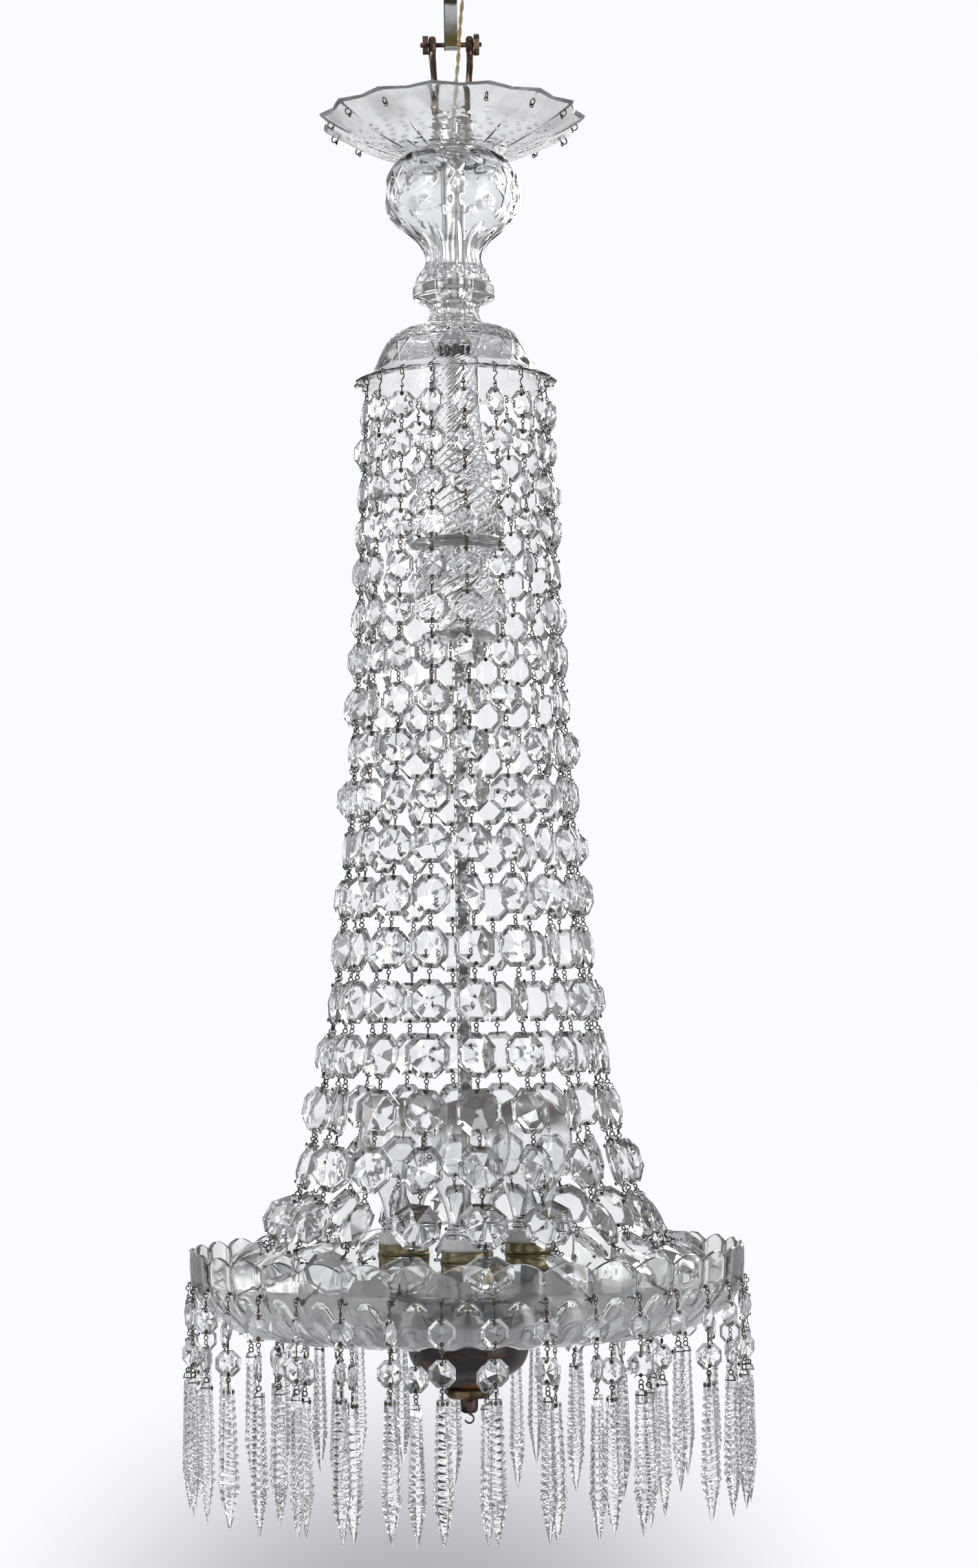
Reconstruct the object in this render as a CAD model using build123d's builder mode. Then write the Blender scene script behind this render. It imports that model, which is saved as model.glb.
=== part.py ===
"""Crystal chandelier: a cut glass crown dish, baluster and bell on a metal stem, a tent of eighteen
octagon strings tied to a scalloped glass bowl, three lamps in the bowl and two rows of pendants.

Millimetres.  +Z is up and the origin is the centre of the hole in the hanger strap.  An angle is
counted from the front (-Y) towards +X.
"""
import os
from math import atan2, cos, degrees, hypot, radians, sin, tan

from build123d import *

os.makedirs("parts", exist_ok=True)

# ------------------------------------------------------------------ driving sizes: hanger
hanger_hole_radius = 2.6
strap_width = 9.5
strap_thickness = 1.6
strap_gap = 4.8                 # between the strap's two legs
strap_head = 8.0                # strap above the hanger hole
hole_to_bolt = 41.5
bolt_radius = 1.8
bolt_length = 43.6
nut_across_flats = 13.0
nut_thickness = 4.0
eye_radius = 6.25
eye_thickness = 5.4
eye_offset = 13.2               # from the axis to the middle of each shackle eye
eye_to_nut = 0.2
eye_clearance = 0.2
nut_clearance = 0.05
leg_radius = 2.0
leg_foot_offset = 11.4          # from the axis to the foot of each shackle leg
bolt_to_boss = 55.5
flex_radius = 1.5
connector_width = 9.0
connector_depth = 7.0
connector_height = 12.0
connector_drop = 4.0            # bottom of the connector below the hanger hole
connector_gap = 0.3             # between the strap and the connector
connector_chamfer = 1.0

# ------------------------------------------------------------------ driving sizes: stem and top glass
boss_radius = 14.5
boss_height = 22.0
boss_chamfer = 1.5
boss_foot_radius = 17.0
boss_foot_height = 5.0
boss_bore_radius = 3.0          # for the flex
stem_radius = 8.5
stem_wall = 1.5
stem_in_boss = 12.0
dish_tip_radius = 95.0
dish_valley_radius = 90.0
dish_height = 28.0
dish_floor_radius = 34.0
dish_wall = 4.0
dish_points = 15
dish_first_point = 16.0         # angle of the first tip
baluster_height = 92.4
baluster_radius = 49.0
baluster_top_radius = 34.0
baluster_waist_radius = 20.0
baluster_foot_radius = 28.0
bell_flange_radius = 29.4
bell_flange_height = 10.0
bell_neck_radius = 17.3
bell_neck_height = 20.0         # from the top of the flange to the middle of the neck
bell_shoulder_radius = 44.0
bell_rim_radius = 71.7
bell_height = 71.2
bell_wall = 4.5
bell_ceiling = 40.0             # from the top of the flange to the ceiling inside the bell
bush_radius = 13.0
bush_height = 6.0
pear_height = 134.0
pear_neck_radius = 16.4
pear_radius = 29.3
plate_radius = 33.8
plate_height = 8.2
vase_height = 57.6
vase_neck_radius = 22.0
vase_radius = 32.0
vase_foot_radius = 18.0
foot_ring_radius = 26.5
foot_ring_height = 5.2
rod_radius = 3.0
rod_in_bush = 4.0
rod_to_stem = 1.0               # between the rod's top and the stem tube
rope_tube_radius = 5.4
rope_tube_length = 324.9
collar_radius = 4.8
collar_height = 2.5
glass_clearance = 0.3           # around the stem and the rod in every bore

# ------------------------------------------------------------------ driving sizes: bowl, lamps, finial
collar_to_plate = 132.7         # from the collar to the top of the lamp plate
lamp_plate_radius = 64.0
lamp_plate_thickness = 2.0
hub_radius = 12.0
hub_height = 11.5
pan_floor_radius = 118.0
pan_rim_radius = 150.0
pan_rise = 10.0
pan_thickness = 1.2
bowl_radius = 191.0
bowl_height = 59.2              # from the scallop tops to the underside
bowl_floor_radius = 138.0
bowl_wall = 4.0
bowl_scallops = 36
bowl_first_corner = 5.0         # angle of the first corner between two scallops
scallop_rise = 6.5
hook_drop = 25.5                # from the scallop tops to the pendant hooks
lamp_count = 3
lamp_circle = 51.0
pillar_radius = 7.0
pillar_height = 16.0
holder_cup_height = 5.0
holder_radius = 18.6
holder_height = 18.5
holder_bore_radius = 14.4
shade_ring_radius = 17.6
shade_ring_height = 8.2
bulb_radius = 30.5
bulb_height = 83.7
bulb_neck_radius = 12.6
cap_radius = 13.2
cap_length = 26.5
cap_in_view = 9.7               # screw cap that shows above the shade ring
cap_tip = 4.0
cap_clearance = 0.3
finial_radius = 42.0
finial_height = 38.0
finial_tip_radius = 16.0
finial_ring_radius = 17.0
finial_ring_height = 7.4
finial_nut_radius = 6.25
finial_nut_height = 10.8
finial_hook_radius = 3.0
finial_hook_wire = 0.8
finial_hook_gap = 0.05

# ------------------------------------------------------------------ driving sizes: crystals
string_count = 18
string_first = 5.0              # angle of the first string
string_hook_radius = 64.0
string_hook_length = 3.4
string_rows = 19
top_octagon = 19.0              # across flats
bottom_octagon = 33.0
top_wire = 9.5
tie_wire = 18.0
octagon_thinness = 0.36         # thickness over width across flats
outward_drift = 0.19            # share of the string's outward run that is even along its fall
outward_belly = 0.375           # share that gathers in the lower half, the rest near the bowl
octagon_yaw = 14.0              # how far the tent's stones are turned about their strings
octagon_yaw_row = 24.0          # further turn from row to row
octagon_yaw_string = 14.0       # further turn from string to string
wire_radius = 0.9
hook_radius = 0.6
hook_reach = 3.6
hook_play = 0.3                 # between a pendant's wire and its hook
hook_seat = 0.1                 # between a bowl hook and the bowl's wall
hook_grip = 1.0                 # from the tip of a bowl hook to its pendant's line
tie_clearance = 0.6             # between a string's foot and the bowl's inner wall
march_steps = 5000              # steps in which a string's length is measured
pendant_octagon = 17.3
pendant_wire = 7.6
prism_length = 92.6
prism_width = 14.8
prism_thickness = 9.4
prism_head = 8.2
prism_belly = 0.68              # widest section, as a share of the prism's length
inner_circle = 133.0
inner_count = 18
inner_first = 5.0
short_pendant = 45.0            # angle of the one pendant with a single octagon

# ------------------------------------------------------------------ heights, from the top down
bolt_height = -hole_to_bolt
boss_top = bolt_height - bolt_to_boss
boss_bottom = boss_top - boss_height
dish_bottom = boss_bottom - dish_wall
dish_rim = dish_bottom + dish_height
baluster_bottom = dish_bottom - baluster_height
bell_ceiling_height = baluster_bottom - bell_ceiling
bell_rim = baluster_bottom - bell_height
bush_bottom = bell_ceiling_height - bush_height
pear_bottom = bush_bottom - pear_height
vase_top = pear_bottom - plate_height
vase_bottom = vase_top - vase_height
ring_bottom = vase_bottom - foot_ring_height
rope_bottom = ring_bottom - rope_tube_length
collar_bottom = rope_bottom - collar_height
plate_top = collar_bottom - collar_to_plate
plate_bottom = plate_top - lamp_plate_thickness
hub_bottom = plate_bottom - hub_height
bowl_floor = hub_bottom - pan_thickness
bowl_bottom = bowl_floor - bowl_wall
bowl_rim = bowl_bottom + bowl_height
finial_bottom = bowl_bottom - finial_height
finial_ring_bottom = finial_bottom - finial_ring_height
finial_nut_bottom = finial_ring_bottom - finial_nut_height
shell_bottom = plate_top + pillar_height + holder_cup_height
shell_top = shell_bottom + holder_height
shade_top = shell_top + shade_ring_height
bulb_bottom = shade_top + cap_in_view
cap_bottom = bulb_bottom - cap_length
hook_height = bowl_rim - hook_drop

stem_bore = stem_radius + glass_clearance
rod_bore = rod_radius + glass_clearance


# ------------------------------------------------------------------ helpers
def ring(height, radius, sides, turn=0.0, centre=(0.0, 0.0)):
    """A level polygon with its corners on the given radius."""
    with BuildSketch(Plane.XY.offset(height)) as outline:
        with Locations(centre):
            RegularPolygon(radius, sides, rotation=turn)
    return outline.sketch.face()


def rings(top, profile, sides, turn=0.0, centre=(0.0, 0.0)):
    """Level polygons for a faceted turned form; the profile lists (drop from the top, radius)."""
    return [ring(top - drop, radius, sides, turn, centre) for drop, radius in profile]


def flat_bore(top, bottom, radius, sides):
    """A faceted bore that clears a shaft of the given radius."""
    with BuildSketch(Plane.XY.offset(top)) as outline:
        RegularPolygon(radius, sides, major_radius=False)
    extrude(outline.sketch, amount=bottom - top, mode=Mode.SUBTRACT)


def radius_at(profile, drop):
    """The radius of a straight-sided profile at a drop from its top."""
    for (upper, wide), (lower, narrow) in zip(profile, profile[1:]):
        if upper <= drop <= lower:
            return wide + (narrow - wide) * (drop - upper) / (lower - upper)
    return profile[-1][1]


def around(angle, radius, height):
    """A location on a circle, turned so that its -Y side faces outwards."""
    turn = radians(angle)
    return Pos(radius * sin(turn), -radius * cos(turn), height) * Rot(0, 0, angle)


def save(piece, name):
    piece.label = name
    export_step(piece, f"parts/{name}.step")


def octagon(across):
    """One cut octagon: a stone with eight facets to a point on each face, flats at top and bottom."""
    with BuildPart() as stone:
        with BuildSketch(Plane.XZ) as girdle:
            RegularPolygon(across / 2, 8, major_radius=False, rotation=22.5)
        point = across * octagon_thinness / 2
        loft([girdle.sketch.face(), Vertex(0, -point, 0)], ruled=True)
        loft([girdle.sketch.face(), Vertex(0, point, 0)], ruled=True)
    return stone.part


def wire(length, radius=wire_radius):
    """A pair of interlinked wire eyes, as thick in the middle as both, hanging from the origin."""
    with BuildPart() as eyes:
        with BuildSketch(Plane.XY.offset(-length / 2)) as middle:
            RegularPolygon(radius, 3, rotation=30)
        loft([middle.sketch.face(), Vertex(0, 0, 0)], ruled=True)
        loft([middle.sketch.face(), Vertex(0, 0, -length)], ruled=True)
    return eyes.part


# ------------------------------------------------------------------ hanger strap
with BuildPart() as hanger_strap:
    inner_bend = strap_gap / 2
    outer_bend = inner_bend + strap_thickness
    with BuildSketch(Plane.YZ.offset(-strap_width / 2)):
        with BuildLine():
            Polyline((-outer_bend, bolt_height), (-outer_bend, strap_head),
                     (-inner_bend, strap_head), (-inner_bend, bolt_height))
            ThreePointArc((-inner_bend, bolt_height), (0, bolt_height - inner_bend),
                          (inner_bend, bolt_height))
            Polyline((inner_bend, bolt_height), (inner_bend, strap_head),
                     (outer_bend, strap_head), (outer_bend, bolt_height))
            ThreePointArc((outer_bend, bolt_height), (0, bolt_height - outer_bend),
                          (-outer_bend, bolt_height))
        make_face()
    extrude(amount=strap_width)
    corners = hanger_strap.edges().filter_by(Axis.Y).group_by(Axis.Z)[-1]
    chamfer(corners, strap_width / 4)
    with Locations(Plane.XZ):
        Cylinder(hanger_hole_radius, 4 * outer_bend, mode=Mode.SUBTRACT)
save(hanger_strap.part, "hanger_strap")

# ------------------------------------------------------------------ connector and flex
connector_inner = strap_width / 2 + connector_gap
connector_middle = connector_inner + connector_width / 2
connector_front = -outer_bend - connector_depth / 2
with BuildPart() as flex_connector:
    with BuildSketch(Plane.XY.offset(-connector_drop)):
        with Locations((connector_middle, connector_front)):
            Rectangle(connector_width, connector_depth)
    extrude(amount=connector_height)
    chamfer(flex_connector.edges().filter_by(Axis.Z), connector_chamfer)
save(flex_connector.part, "flex_connector")

# The flex runs taut from the connector past the front of the bolt, into the top of the boss.
flex_route = [
    (connector_middle, connector_front, -connector_drop),
    (7.6, -7.0, -20.0),
    (6.0, -6.6, -38.0),
    (5.0, -6.0, -56.0),
    (2.4, -3.6, -76.0),
    (0.4, -1.0, boss_top),
]


def corner_radii(route, share=0.45):
    """The largest arc that each corner's two runs leave room for."""
    points = [Vector(*point) for point in route]
    radii = []
    for before, corner, after in zip(points, points[1:], points[2:]):
        turn = (corner - before).get_angle(after - corner)
        shorter = min((corner - before).length, (after - corner).length)
        radii.append(share * shorter / tan(radians(turn) / 2))
    return radii


flex_radii = corner_radii(flex_route)
print("flex radii", [round(radius, 1) for radius in flex_radii])
with BuildPart() as flex:
    with BuildLine() as flex_path:
        FilletPolyline(*flex_route, radius=flex_radii)
    flex_start = Plane(origin=Vector(*flex_route[0]), z_dir=Vector(*flex_route[1]) - Vector(*flex_route[0]))
    with BuildSketch(flex_start):
        RegularPolygon(flex_radius, 6)
    sweep()
    split(bisect_by=Plane.XY.offset(-connector_drop - hook_play), keep=Keep.BOTTOM)
    split(bisect_by=Plane.XY.offset(boss_top + hook_play), keep=Keep.TOP)
save(flex.part, "flex")
print("flex length", round(sum(edge.length for edge in flex_path.edges()), 1))

# ------------------------------------------------------------------ bolt, nuts and shackle
with BuildPart() as hanger_bolt:
    with BuildSketch(Plane.YZ.offset(-bolt_length / 2)):
        with Locations((0, bolt_height)):
            RegularPolygon(bolt_radius, 16)
    extrude(amount=bolt_length)
save(hanger_bolt.part, "hanger_bolt")

nut_offset = eye_offset + eye_thickness / 2 + eye_to_nut
with BuildPart() as hanger_nuts:
    for side in (-1, 1):
        with BuildSketch(Plane.YZ.offset(side * nut_offset)):
            with Locations((0, bolt_height)):
                RegularPolygon(nut_across_flats / 2, 6, major_radius=False)
                RegularPolygon(bolt_radius + nut_clearance, 12, major_radius=False, mode=Mode.SUBTRACT)
        extrude(amount=side * nut_thickness)
save(hanger_nuts.part, "hanger_nuts")

with BuildPart() as shackle:
    for side in (-1, 1):
        loft([ring(bolt_height - eye_radius / 2, leg_radius, 8, centre=(side * eye_offset, 0)),
              ring(boss_top, leg_radius, 8, centre=(side * leg_foot_offset, 0))], ruled=True)
        with BuildSketch(Plane.YZ.offset(side * eye_offset)):
            with Locations((0, bolt_height)):
                RegularPolygon(eye_radius, 16)
        extrude(amount=eye_thickness / 2, both=True)
        with BuildSketch(Plane.YZ.offset(side * eye_offset)):
            with Locations((0, bolt_height)):
                RegularPolygon(bolt_radius + eye_clearance, 12, major_radius=False)
        extrude(amount=eye_thickness, both=True, mode=Mode.SUBTRACT)
save(shackle.part, "shackle")

# ------------------------------------------------------------------ stem
boss_profile = [(0, boss_radius - boss_chamfer), (boss_chamfer, boss_radius),
                (boss_height - boss_foot_height, boss_radius),
                (boss_height - boss_foot_height * 0.8, boss_foot_radius), (boss_height, boss_foot_radius)]
with BuildPart() as stem_boss:
    loft(rings(boss_top, boss_profile, 18), ruled=True)
    flat_bore(boss_bottom + stem_in_boss, boss_bottom, stem_bore, 12)
    flat_bore(boss_top, boss_bottom, boss_bore_radius, 8)
save(stem_boss.part, "stem_boss")

stem_bottom = bush_bottom + rod_in_bush + rod_to_stem
with BuildPart() as stem_tube:
    with BuildSketch(Plane.XY.offset(boss_bottom + stem_in_boss)):
        RegularPolygon(stem_radius, 12)
        RegularPolygon(stem_radius - stem_wall, 12, mode=Mode.SUBTRACT)
    extrude(amount=stem_bottom - boss_bottom - stem_in_boss)
save(stem_tube.part, "stem_tube")

# ------------------------------------------------------------------ crown dish
dish_sides = 2 * dish_points
dish_turn = dish_first_point - 90.0
dish_profile = [(0, dish_tip_radius), (dish_height * 0.32, dish_tip_radius * 0.87),
                (dish_height * 0.72, dish_tip_radius * 0.62), (dish_height, dish_floor_radius)]
dish_inside = [(-1, dish_tip_radius - dish_wall * 0.6),
               (dish_height * 0.32 - dish_wall * 0.6, dish_tip_radius * 0.87 - dish_wall * 0.8),
               (dish_height * 0.72 - dish_wall * 0.8, dish_tip_radius * 0.62 - dish_wall * 0.6),
               (dish_height - dish_wall, dish_floor_radius - dish_wall * 0.6)]
dish_outline = []
for point in range(dish_sides):
    bearing = radians(dish_turn + 180 / dish_points * point)
    reach = dish_valley_radius if point % 2 else dish_tip_radius
    dish_outline.append((reach * cos(bearing), reach * sin(bearing)))
with BuildPart() as crown_dish:
    loft(rings(dish_rim, dish_profile, dish_sides, dish_turn), ruled=True)
    loft(rings(dish_rim, dish_inside, dish_sides, dish_turn), ruled=True, mode=Mode.SUBTRACT)
    with BuildSketch(Plane.XY.offset(dish_rim)):
        Polygon(*dish_outline, align=None)
    extrude(amount=-dish_height, mode=Mode.INTERSECT)
    flat_bore(dish_rim, dish_bottom, stem_bore, 12)
save(crown_dish.part, "crown_dish")

# ------------------------------------------------------------------ baluster
baluster_profile = [
    (0, baluster_top_radius),
    (baluster_height * 0.10, baluster_radius - 5.0),
    (baluster_height * 0.26, baluster_radius),
    (baluster_height * 0.36, baluster_radius),
    (baluster_height * 0.47, baluster_radius - 4.5),
    (baluster_height * 0.57, baluster_radius - 15.0),
    (baluster_height * 0.66, baluster_waist_radius + 2.6),
    (baluster_height * 0.77, baluster_waist_radius),
    (baluster_height * 0.86, baluster_waist_radius + 1.3),
    (baluster_height * 0.96, baluster_foot_radius - 1.0),
    (baluster_height, baluster_foot_radius),
]
with BuildPart() as baluster:
    loft(rings(dish_bottom, baluster_profile, 12, 15), ruled=True)
    flat_bore(dish_bottom, baluster_bottom, stem_bore, 12)
save(baluster.part, "baluster")

# ------------------------------------------------------------------ bell canopy
bell_turn = string_first - 90.0
bell_skirt = bell_height - bell_neck_height
bell_profile = [
    (0, bell_flange_radius),
    (bell_flange_height, bell_flange_radius),
    (bell_flange_height + 4.5, bell_neck_radius + 1.0),
    (bell_neck_height, bell_neck_radius),
    (bell_neck_height + bell_skirt * 0.14, bell_neck_radius + 3.0),
    (bell_neck_height + bell_skirt * 0.24, bell_shoulder_radius - 5.0),
    (bell_neck_height + bell_skirt * 0.36, bell_shoulder_radius + 2.5),
    (bell_neck_height + bell_skirt * 0.60, bell_shoulder_radius + 9.0),
    (bell_neck_height + bell_skirt * 0.86, bell_shoulder_radius + 15.2),
    (bell_height, bell_rim_radius),
]
bell_inside = [
    (bell_ceiling, bell_shoulder_radius - bell_wall * 1.6),
    (bell_neck_height + bell_skirt * 0.60, bell_shoulder_radius + 9.0 - bell_wall),
    (bell_neck_height + bell_skirt * 0.86, bell_shoulder_radius + 15.2 - bell_wall),
    (bell_height + 1.0, bell_rim_radius - bell_wall * 2.2),
]
with BuildPart() as bell_canopy:
    loft(rings(baluster_bottom, bell_profile, string_count, bell_turn), ruled=True)
    loft(rings(baluster_bottom, bell_inside, string_count, bell_turn), ruled=True,
         mode=Mode.SUBTRACT)
    flat_bore(baluster_bottom, bell_ceiling_height, stem_bore, 12)
save(bell_canopy.part, "bell_canopy")

with BuildPart() as bell_bush:
    loft(rings(bell_ceiling_height, [(0, bush_radius), (bush_height, bush_radius - 1.5)], 10),
         ruled=True)
    flat_bore(bell_ceiling_height, stem_bottom, stem_bore, 10)
    flat_bore(stem_bottom, bush_bottom, rod_bore, 6)
save(bell_bush.part, "bell_bush")

# ------------------------------------------------------------------ twist pear, plate and vase
pear_profile = [
    (0, pear_neck_radius - 1.5),
    (pear_height * 0.19, pear_neck_radius),
    (pear_height * 0.49, pear_neck_radius + 3.0),
    (pear_height * 0.62, pear_radius - 5.5),
    (pear_height * 0.74, pear_radius - 1.5),
    (pear_height * 0.84, pear_radius),
    (pear_height * 0.93, pear_radius - 1.0),
    (pear_height, pear_radius - 5.0),
]
with BuildPart() as twist_pear:
    loft(rings(bush_bottom, pear_profile, 12), ruled=True)
    flat_bore(bush_bottom, pear_bottom, rod_bore, 6)
save(twist_pear.part, "twist_pear")

plate_profile = [(0, plate_radius - 2.0), (plate_height / 2, plate_radius),
                 (plate_height, plate_radius - 2.0)]
with BuildPart() as glass_plate:
    loft(rings(pear_bottom, plate_profile, 12), ruled=True)
    flat_bore(pear_bottom, vase_top, rod_bore, 6)
save(glass_plate.part, "glass_plate")

vase_profile = [
    (0, vase_neck_radius + 3.0),
    (vase_height * 0.18, vase_neck_radius),
    (vase_height * 0.42, vase_radius - 3.5),
    (vase_height * 0.62, vase_radius),
    (vase_height * 0.78, vase_radius - 2.0),
    (vase_height * 0.92, vase_foot_radius + 5.5),
    (vase_height, vase_foot_radius),
]
with BuildPart() as twist_vase:
    loft(rings(vase_top, vase_profile, 12), ruled=True)
    flat_bore(vase_top, vase_bottom, rod_bore, 6)
save(twist_vase.part, "twist_vase")

with BuildPart() as vase_foot_ring:
    loft(rings(vase_bottom, [(0, foot_ring_radius - 2.0), (foot_ring_height * 0.5, foot_ring_radius),
                             (foot_ring_height, foot_ring_radius - 1.0)], 12), ruled=True)
    flat_bore(vase_bottom, ring_bottom, rod_bore, 6)
save(vase_foot_ring.part, "vase_foot_ring")

with BuildPart() as rope_tube:
    with BuildSketch(Plane.XY.offset(ring_bottom)):
        RegularPolygon(rope_tube_radius, 8)
        RegularPolygon(rod_bore, 8, major_radius=False, mode=Mode.SUBTRACT)
    extrude(amount=-rope_tube_length)
save(rope_tube.part, "rope_tube")

with BuildPart() as tie_rod:
    with BuildSketch(Plane.XY.offset(bush_bottom + rod_in_bush)):
        RegularPolygon(rod_radius, 8)
    extrude(amount=finial_ring_bottom - bush_bottom - rod_in_bush)
    with BuildSketch(Plane.XY.offset(rope_bottom)):
        RegularPolygon(collar_radius, 8)
    extrude(amount=-collar_height)
save(tie_rod.part, "tie_rod")

# ------------------------------------------------------------------ bowl
bowl_turn = bowl_first_corner - 90.0
bowl_profile = [
    (scallop_rise, bowl_radius),
    (bowl_height * 0.45, bowl_radius - 2.0),
    (bowl_height * 0.70, bowl_radius - 12.0),
    (bowl_height * 0.90, bowl_radius - 30.0),
    (bowl_height, bowl_floor_radius),
]
bowl_inside = [
    (scallop_rise, bowl_radius - bowl_wall),
    (bowl_height * 0.43, bowl_radius - 2.0 - bowl_wall),
    (bowl_height * 0.66, bowl_radius - 12.0 - bowl_wall),
    (bowl_height - bowl_wall, bowl_floor_radius),
]
panel_turn = 180 / bowl_scallops
panel_width = 2 * bowl_profile[0][1] * sin(radians(panel_turn))
panel_distance = bowl_profile[0][1] * cos(radians(panel_turn))
with BuildPart() as scallop:
    with BuildSketch(Plane.XZ):
        with BuildLine():
            Polyline((-panel_width / 2, 0), (-panel_width * 0.30, scallop_rise * 0.70),
                     (0, scallop_rise), (panel_width * 0.30, scallop_rise * 0.70),
                     (panel_width / 2, 0), (-panel_width / 2, 0))
        make_face()
    extrude(amount=-bowl_wall * cos(radians(panel_turn)))
with BuildPart() as bowl:
    loft(rings(bowl_rim, bowl_profile, bowl_scallops, bowl_turn), ruled=True)
    loft(rings(bowl_rim, bowl_inside, bowl_scallops, bowl_turn), ruled=True, mode=Mode.SUBTRACT)
    with Locations(*[around(bowl_first_corner + panel_turn * (2 * index + 1), panel_distance,
                            bowl_rim - scallop_rise) for index in range(bowl_scallops)]):
        add(scallop.part)
    flat_bore(bowl_floor, bowl_bottom, rod_bore, 6)
save(bowl.part, "bowl")

hook_wall = radius_at(bowl_profile, hook_drop)
hook_angles = [bowl_first_corner + 2 * panel_turn * index for index in range(bowl_scallops)]
inner_angles = [inner_first + 360 / inner_count * index for index in range(inner_count)]
hook_wire = wire(hook_reach, hook_radius)
with BuildPart() as bowl_hooks:
    with Locations(*[around(angle, hook_wall + hook_seat, hook_height) * Rot(-90, 0, 0)
                     for angle in hook_angles]):
        add(hook_wire)
    with Locations(*[around(angle, inner_circle, bowl_bottom) for angle in inner_angles]):
        add(hook_wire)
save(bowl_hooks.part, "bowl_hooks")

# ------------------------------------------------------------------ reflector pan and lamp cluster
pan_rim = hub_bottom + pan_rise
with BuildPart() as reflector_pan:
    loft([ring(pan_rim, pan_rim_radius, 18), ring(bowl_floor, pan_floor_radius, 18)], ruled=True)
    loft([ring(pan_rim, pan_rim_radius - pan_thickness * 2, 18),
          ring(hub_bottom, pan_floor_radius - pan_thickness * 2, 18)],
         ruled=True, mode=Mode.SUBTRACT)
    flat_bore(hub_bottom, bowl_floor, rod_bore, 6)
save(reflector_pan.part, "reflector_pan")

with BuildPart() as lamp_plate:
    with BuildSketch(Plane.XY.offset(plate_top)):
        RegularPolygon(lamp_plate_radius, 18)
    extrude(amount=-lamp_plate_thickness)
    with BuildSketch(Plane.XY.offset(plate_bottom)):
        RegularPolygon(hub_radius, 10)
    extrude(amount=-hub_height)
    flat_bore(plate_top, hub_bottom, rod_bore, 6)
save(lamp_plate.part, "lamp_plate")

lamp_places = [(lamp_circle * sin(radians(360 / lamp_count * index)),
                -lamp_circle * cos(radians(360 / lamp_count * index)))
               for index in range(lamp_count)]
pillar_top = plate_top + pillar_height
with BuildPart() as lamp_pillars:
    for place in lamp_places:
        loft([ring(plate_top, pillar_radius, 8, centre=place),
              ring(pillar_top, pillar_radius, 8, centre=place)], ruled=True)
save(lamp_pillars.part, "lamp_pillars")

holder_profile = [(0, holder_radius), (holder_height, holder_radius - 1.2),
                  (holder_height + holder_cup_height, pillar_radius + 2.0)]
with BuildPart() as lampholders:
    for place in lamp_places:
        loft(rings(shell_top, holder_profile, 10, centre=place), ruled=True)
        with BuildSketch(Plane.XY.offset(shell_top)):
            with Locations(place):
                RegularPolygon(holder_bore_radius, 10, major_radius=False)
        extrude(amount=cap_bottom - cap_clearance - shell_top, mode=Mode.SUBTRACT)
save(lampholders.part, "lampholders")

with BuildPart() as shade_rings:
    with BuildSketch(Plane.XY.offset(shell_top)):
        with Locations(*lamp_places):
            RegularPolygon(shade_ring_radius, 10)
            RegularPolygon(holder_bore_radius, 10, major_radius=False, mode=Mode.SUBTRACT)
    extrude(amount=shade_ring_height)
save(shade_rings.part, "shade_rings")

bulb_profile = [
    (0, bulb_radius * 0.30),
    (bulb_radius * 0.35, bulb_radius * 0.78),
    (bulb_radius, bulb_radius),
    (bulb_radius * 1.50, bulb_radius * 0.88),
    (bulb_height * 0.78, bulb_neck_radius + 4.0),
    (bulb_height, bulb_neck_radius),
]
bulb_top = bulb_bottom + bulb_height
with BuildPart() as bulb_globes:
    for place in lamp_places:
        loft(rings(bulb_top, bulb_profile, 10, centre=place), ruled=True)
save(bulb_globes.part, "bulb_globes")

with BuildPart() as bulb_caps:
    for place in lamp_places:
        cap_profile = [(0, cap_radius), (cap_length - cap_tip, cap_radius),
                       (cap_length, cap_radius * 0.45)]
        loft(rings(bulb_bottom, cap_profile, 10, centre=place), ruled=True)
save(bulb_caps.part, "bulb_caps")

# ------------------------------------------------------------------ finial
finial_profile = [(0, finial_radius), (finial_height * 0.30, finial_radius),
                  (finial_height * 0.66, finial_radius - 5.5),
                  (finial_height * 0.88, finial_tip_radius + 6.0),
                  (finial_height, finial_tip_radius)]
with BuildPart() as finial_cup:
    loft(rings(bowl_bottom, finial_profile, 16), ruled=True)
    flat_bore(bowl_bottom, finial_bottom, rod_bore, 6)
save(finial_cup.part, "finial_cup")

with BuildPart() as finial_ring:
    with BuildSketch(Plane.XY.offset(finial_bottom)):
        RegularPolygon(finial_ring_radius, 16)
        RegularPolygon(rod_bore, 6, major_radius=False, mode=Mode.SUBTRACT)
    extrude(amount=-finial_ring_height)
save(finial_ring.part, "finial_ring")

with BuildPart() as finial_nut:
    loft(rings(finial_ring_bottom, [(0, finial_nut_radius), (finial_nut_height * 0.7, finial_nut_radius),
                                    (finial_nut_height, finial_nut_radius * 0.6)], 10), ruled=True)
save(finial_nut.part, "finial_nut")

hook_eye = finial_nut_bottom - finial_hook_gap - finial_hook_radius - finial_hook_wire
with BuildPart() as finial_hook:
    with BuildSketch(Plane.XZ):
        with Locations((0, hook_eye)):
            RegularPolygon(finial_hook_radius + finial_hook_wire, 8, rotation=22.5)
            RegularPolygon(finial_hook_radius - finial_hook_wire, 8, rotation=22.5, mode=Mode.SUBTRACT)
    extrude(amount=finial_hook_wire, both=True)
save(finial_hook.part, "finial_hook")

# ------------------------------------------------------------------ tent of octagon strings
string_top = bell_rim - hook_play - string_hook_length - hook_play
string_foot_radius = hook_wall - bowl_wall - tie_clearance


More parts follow.
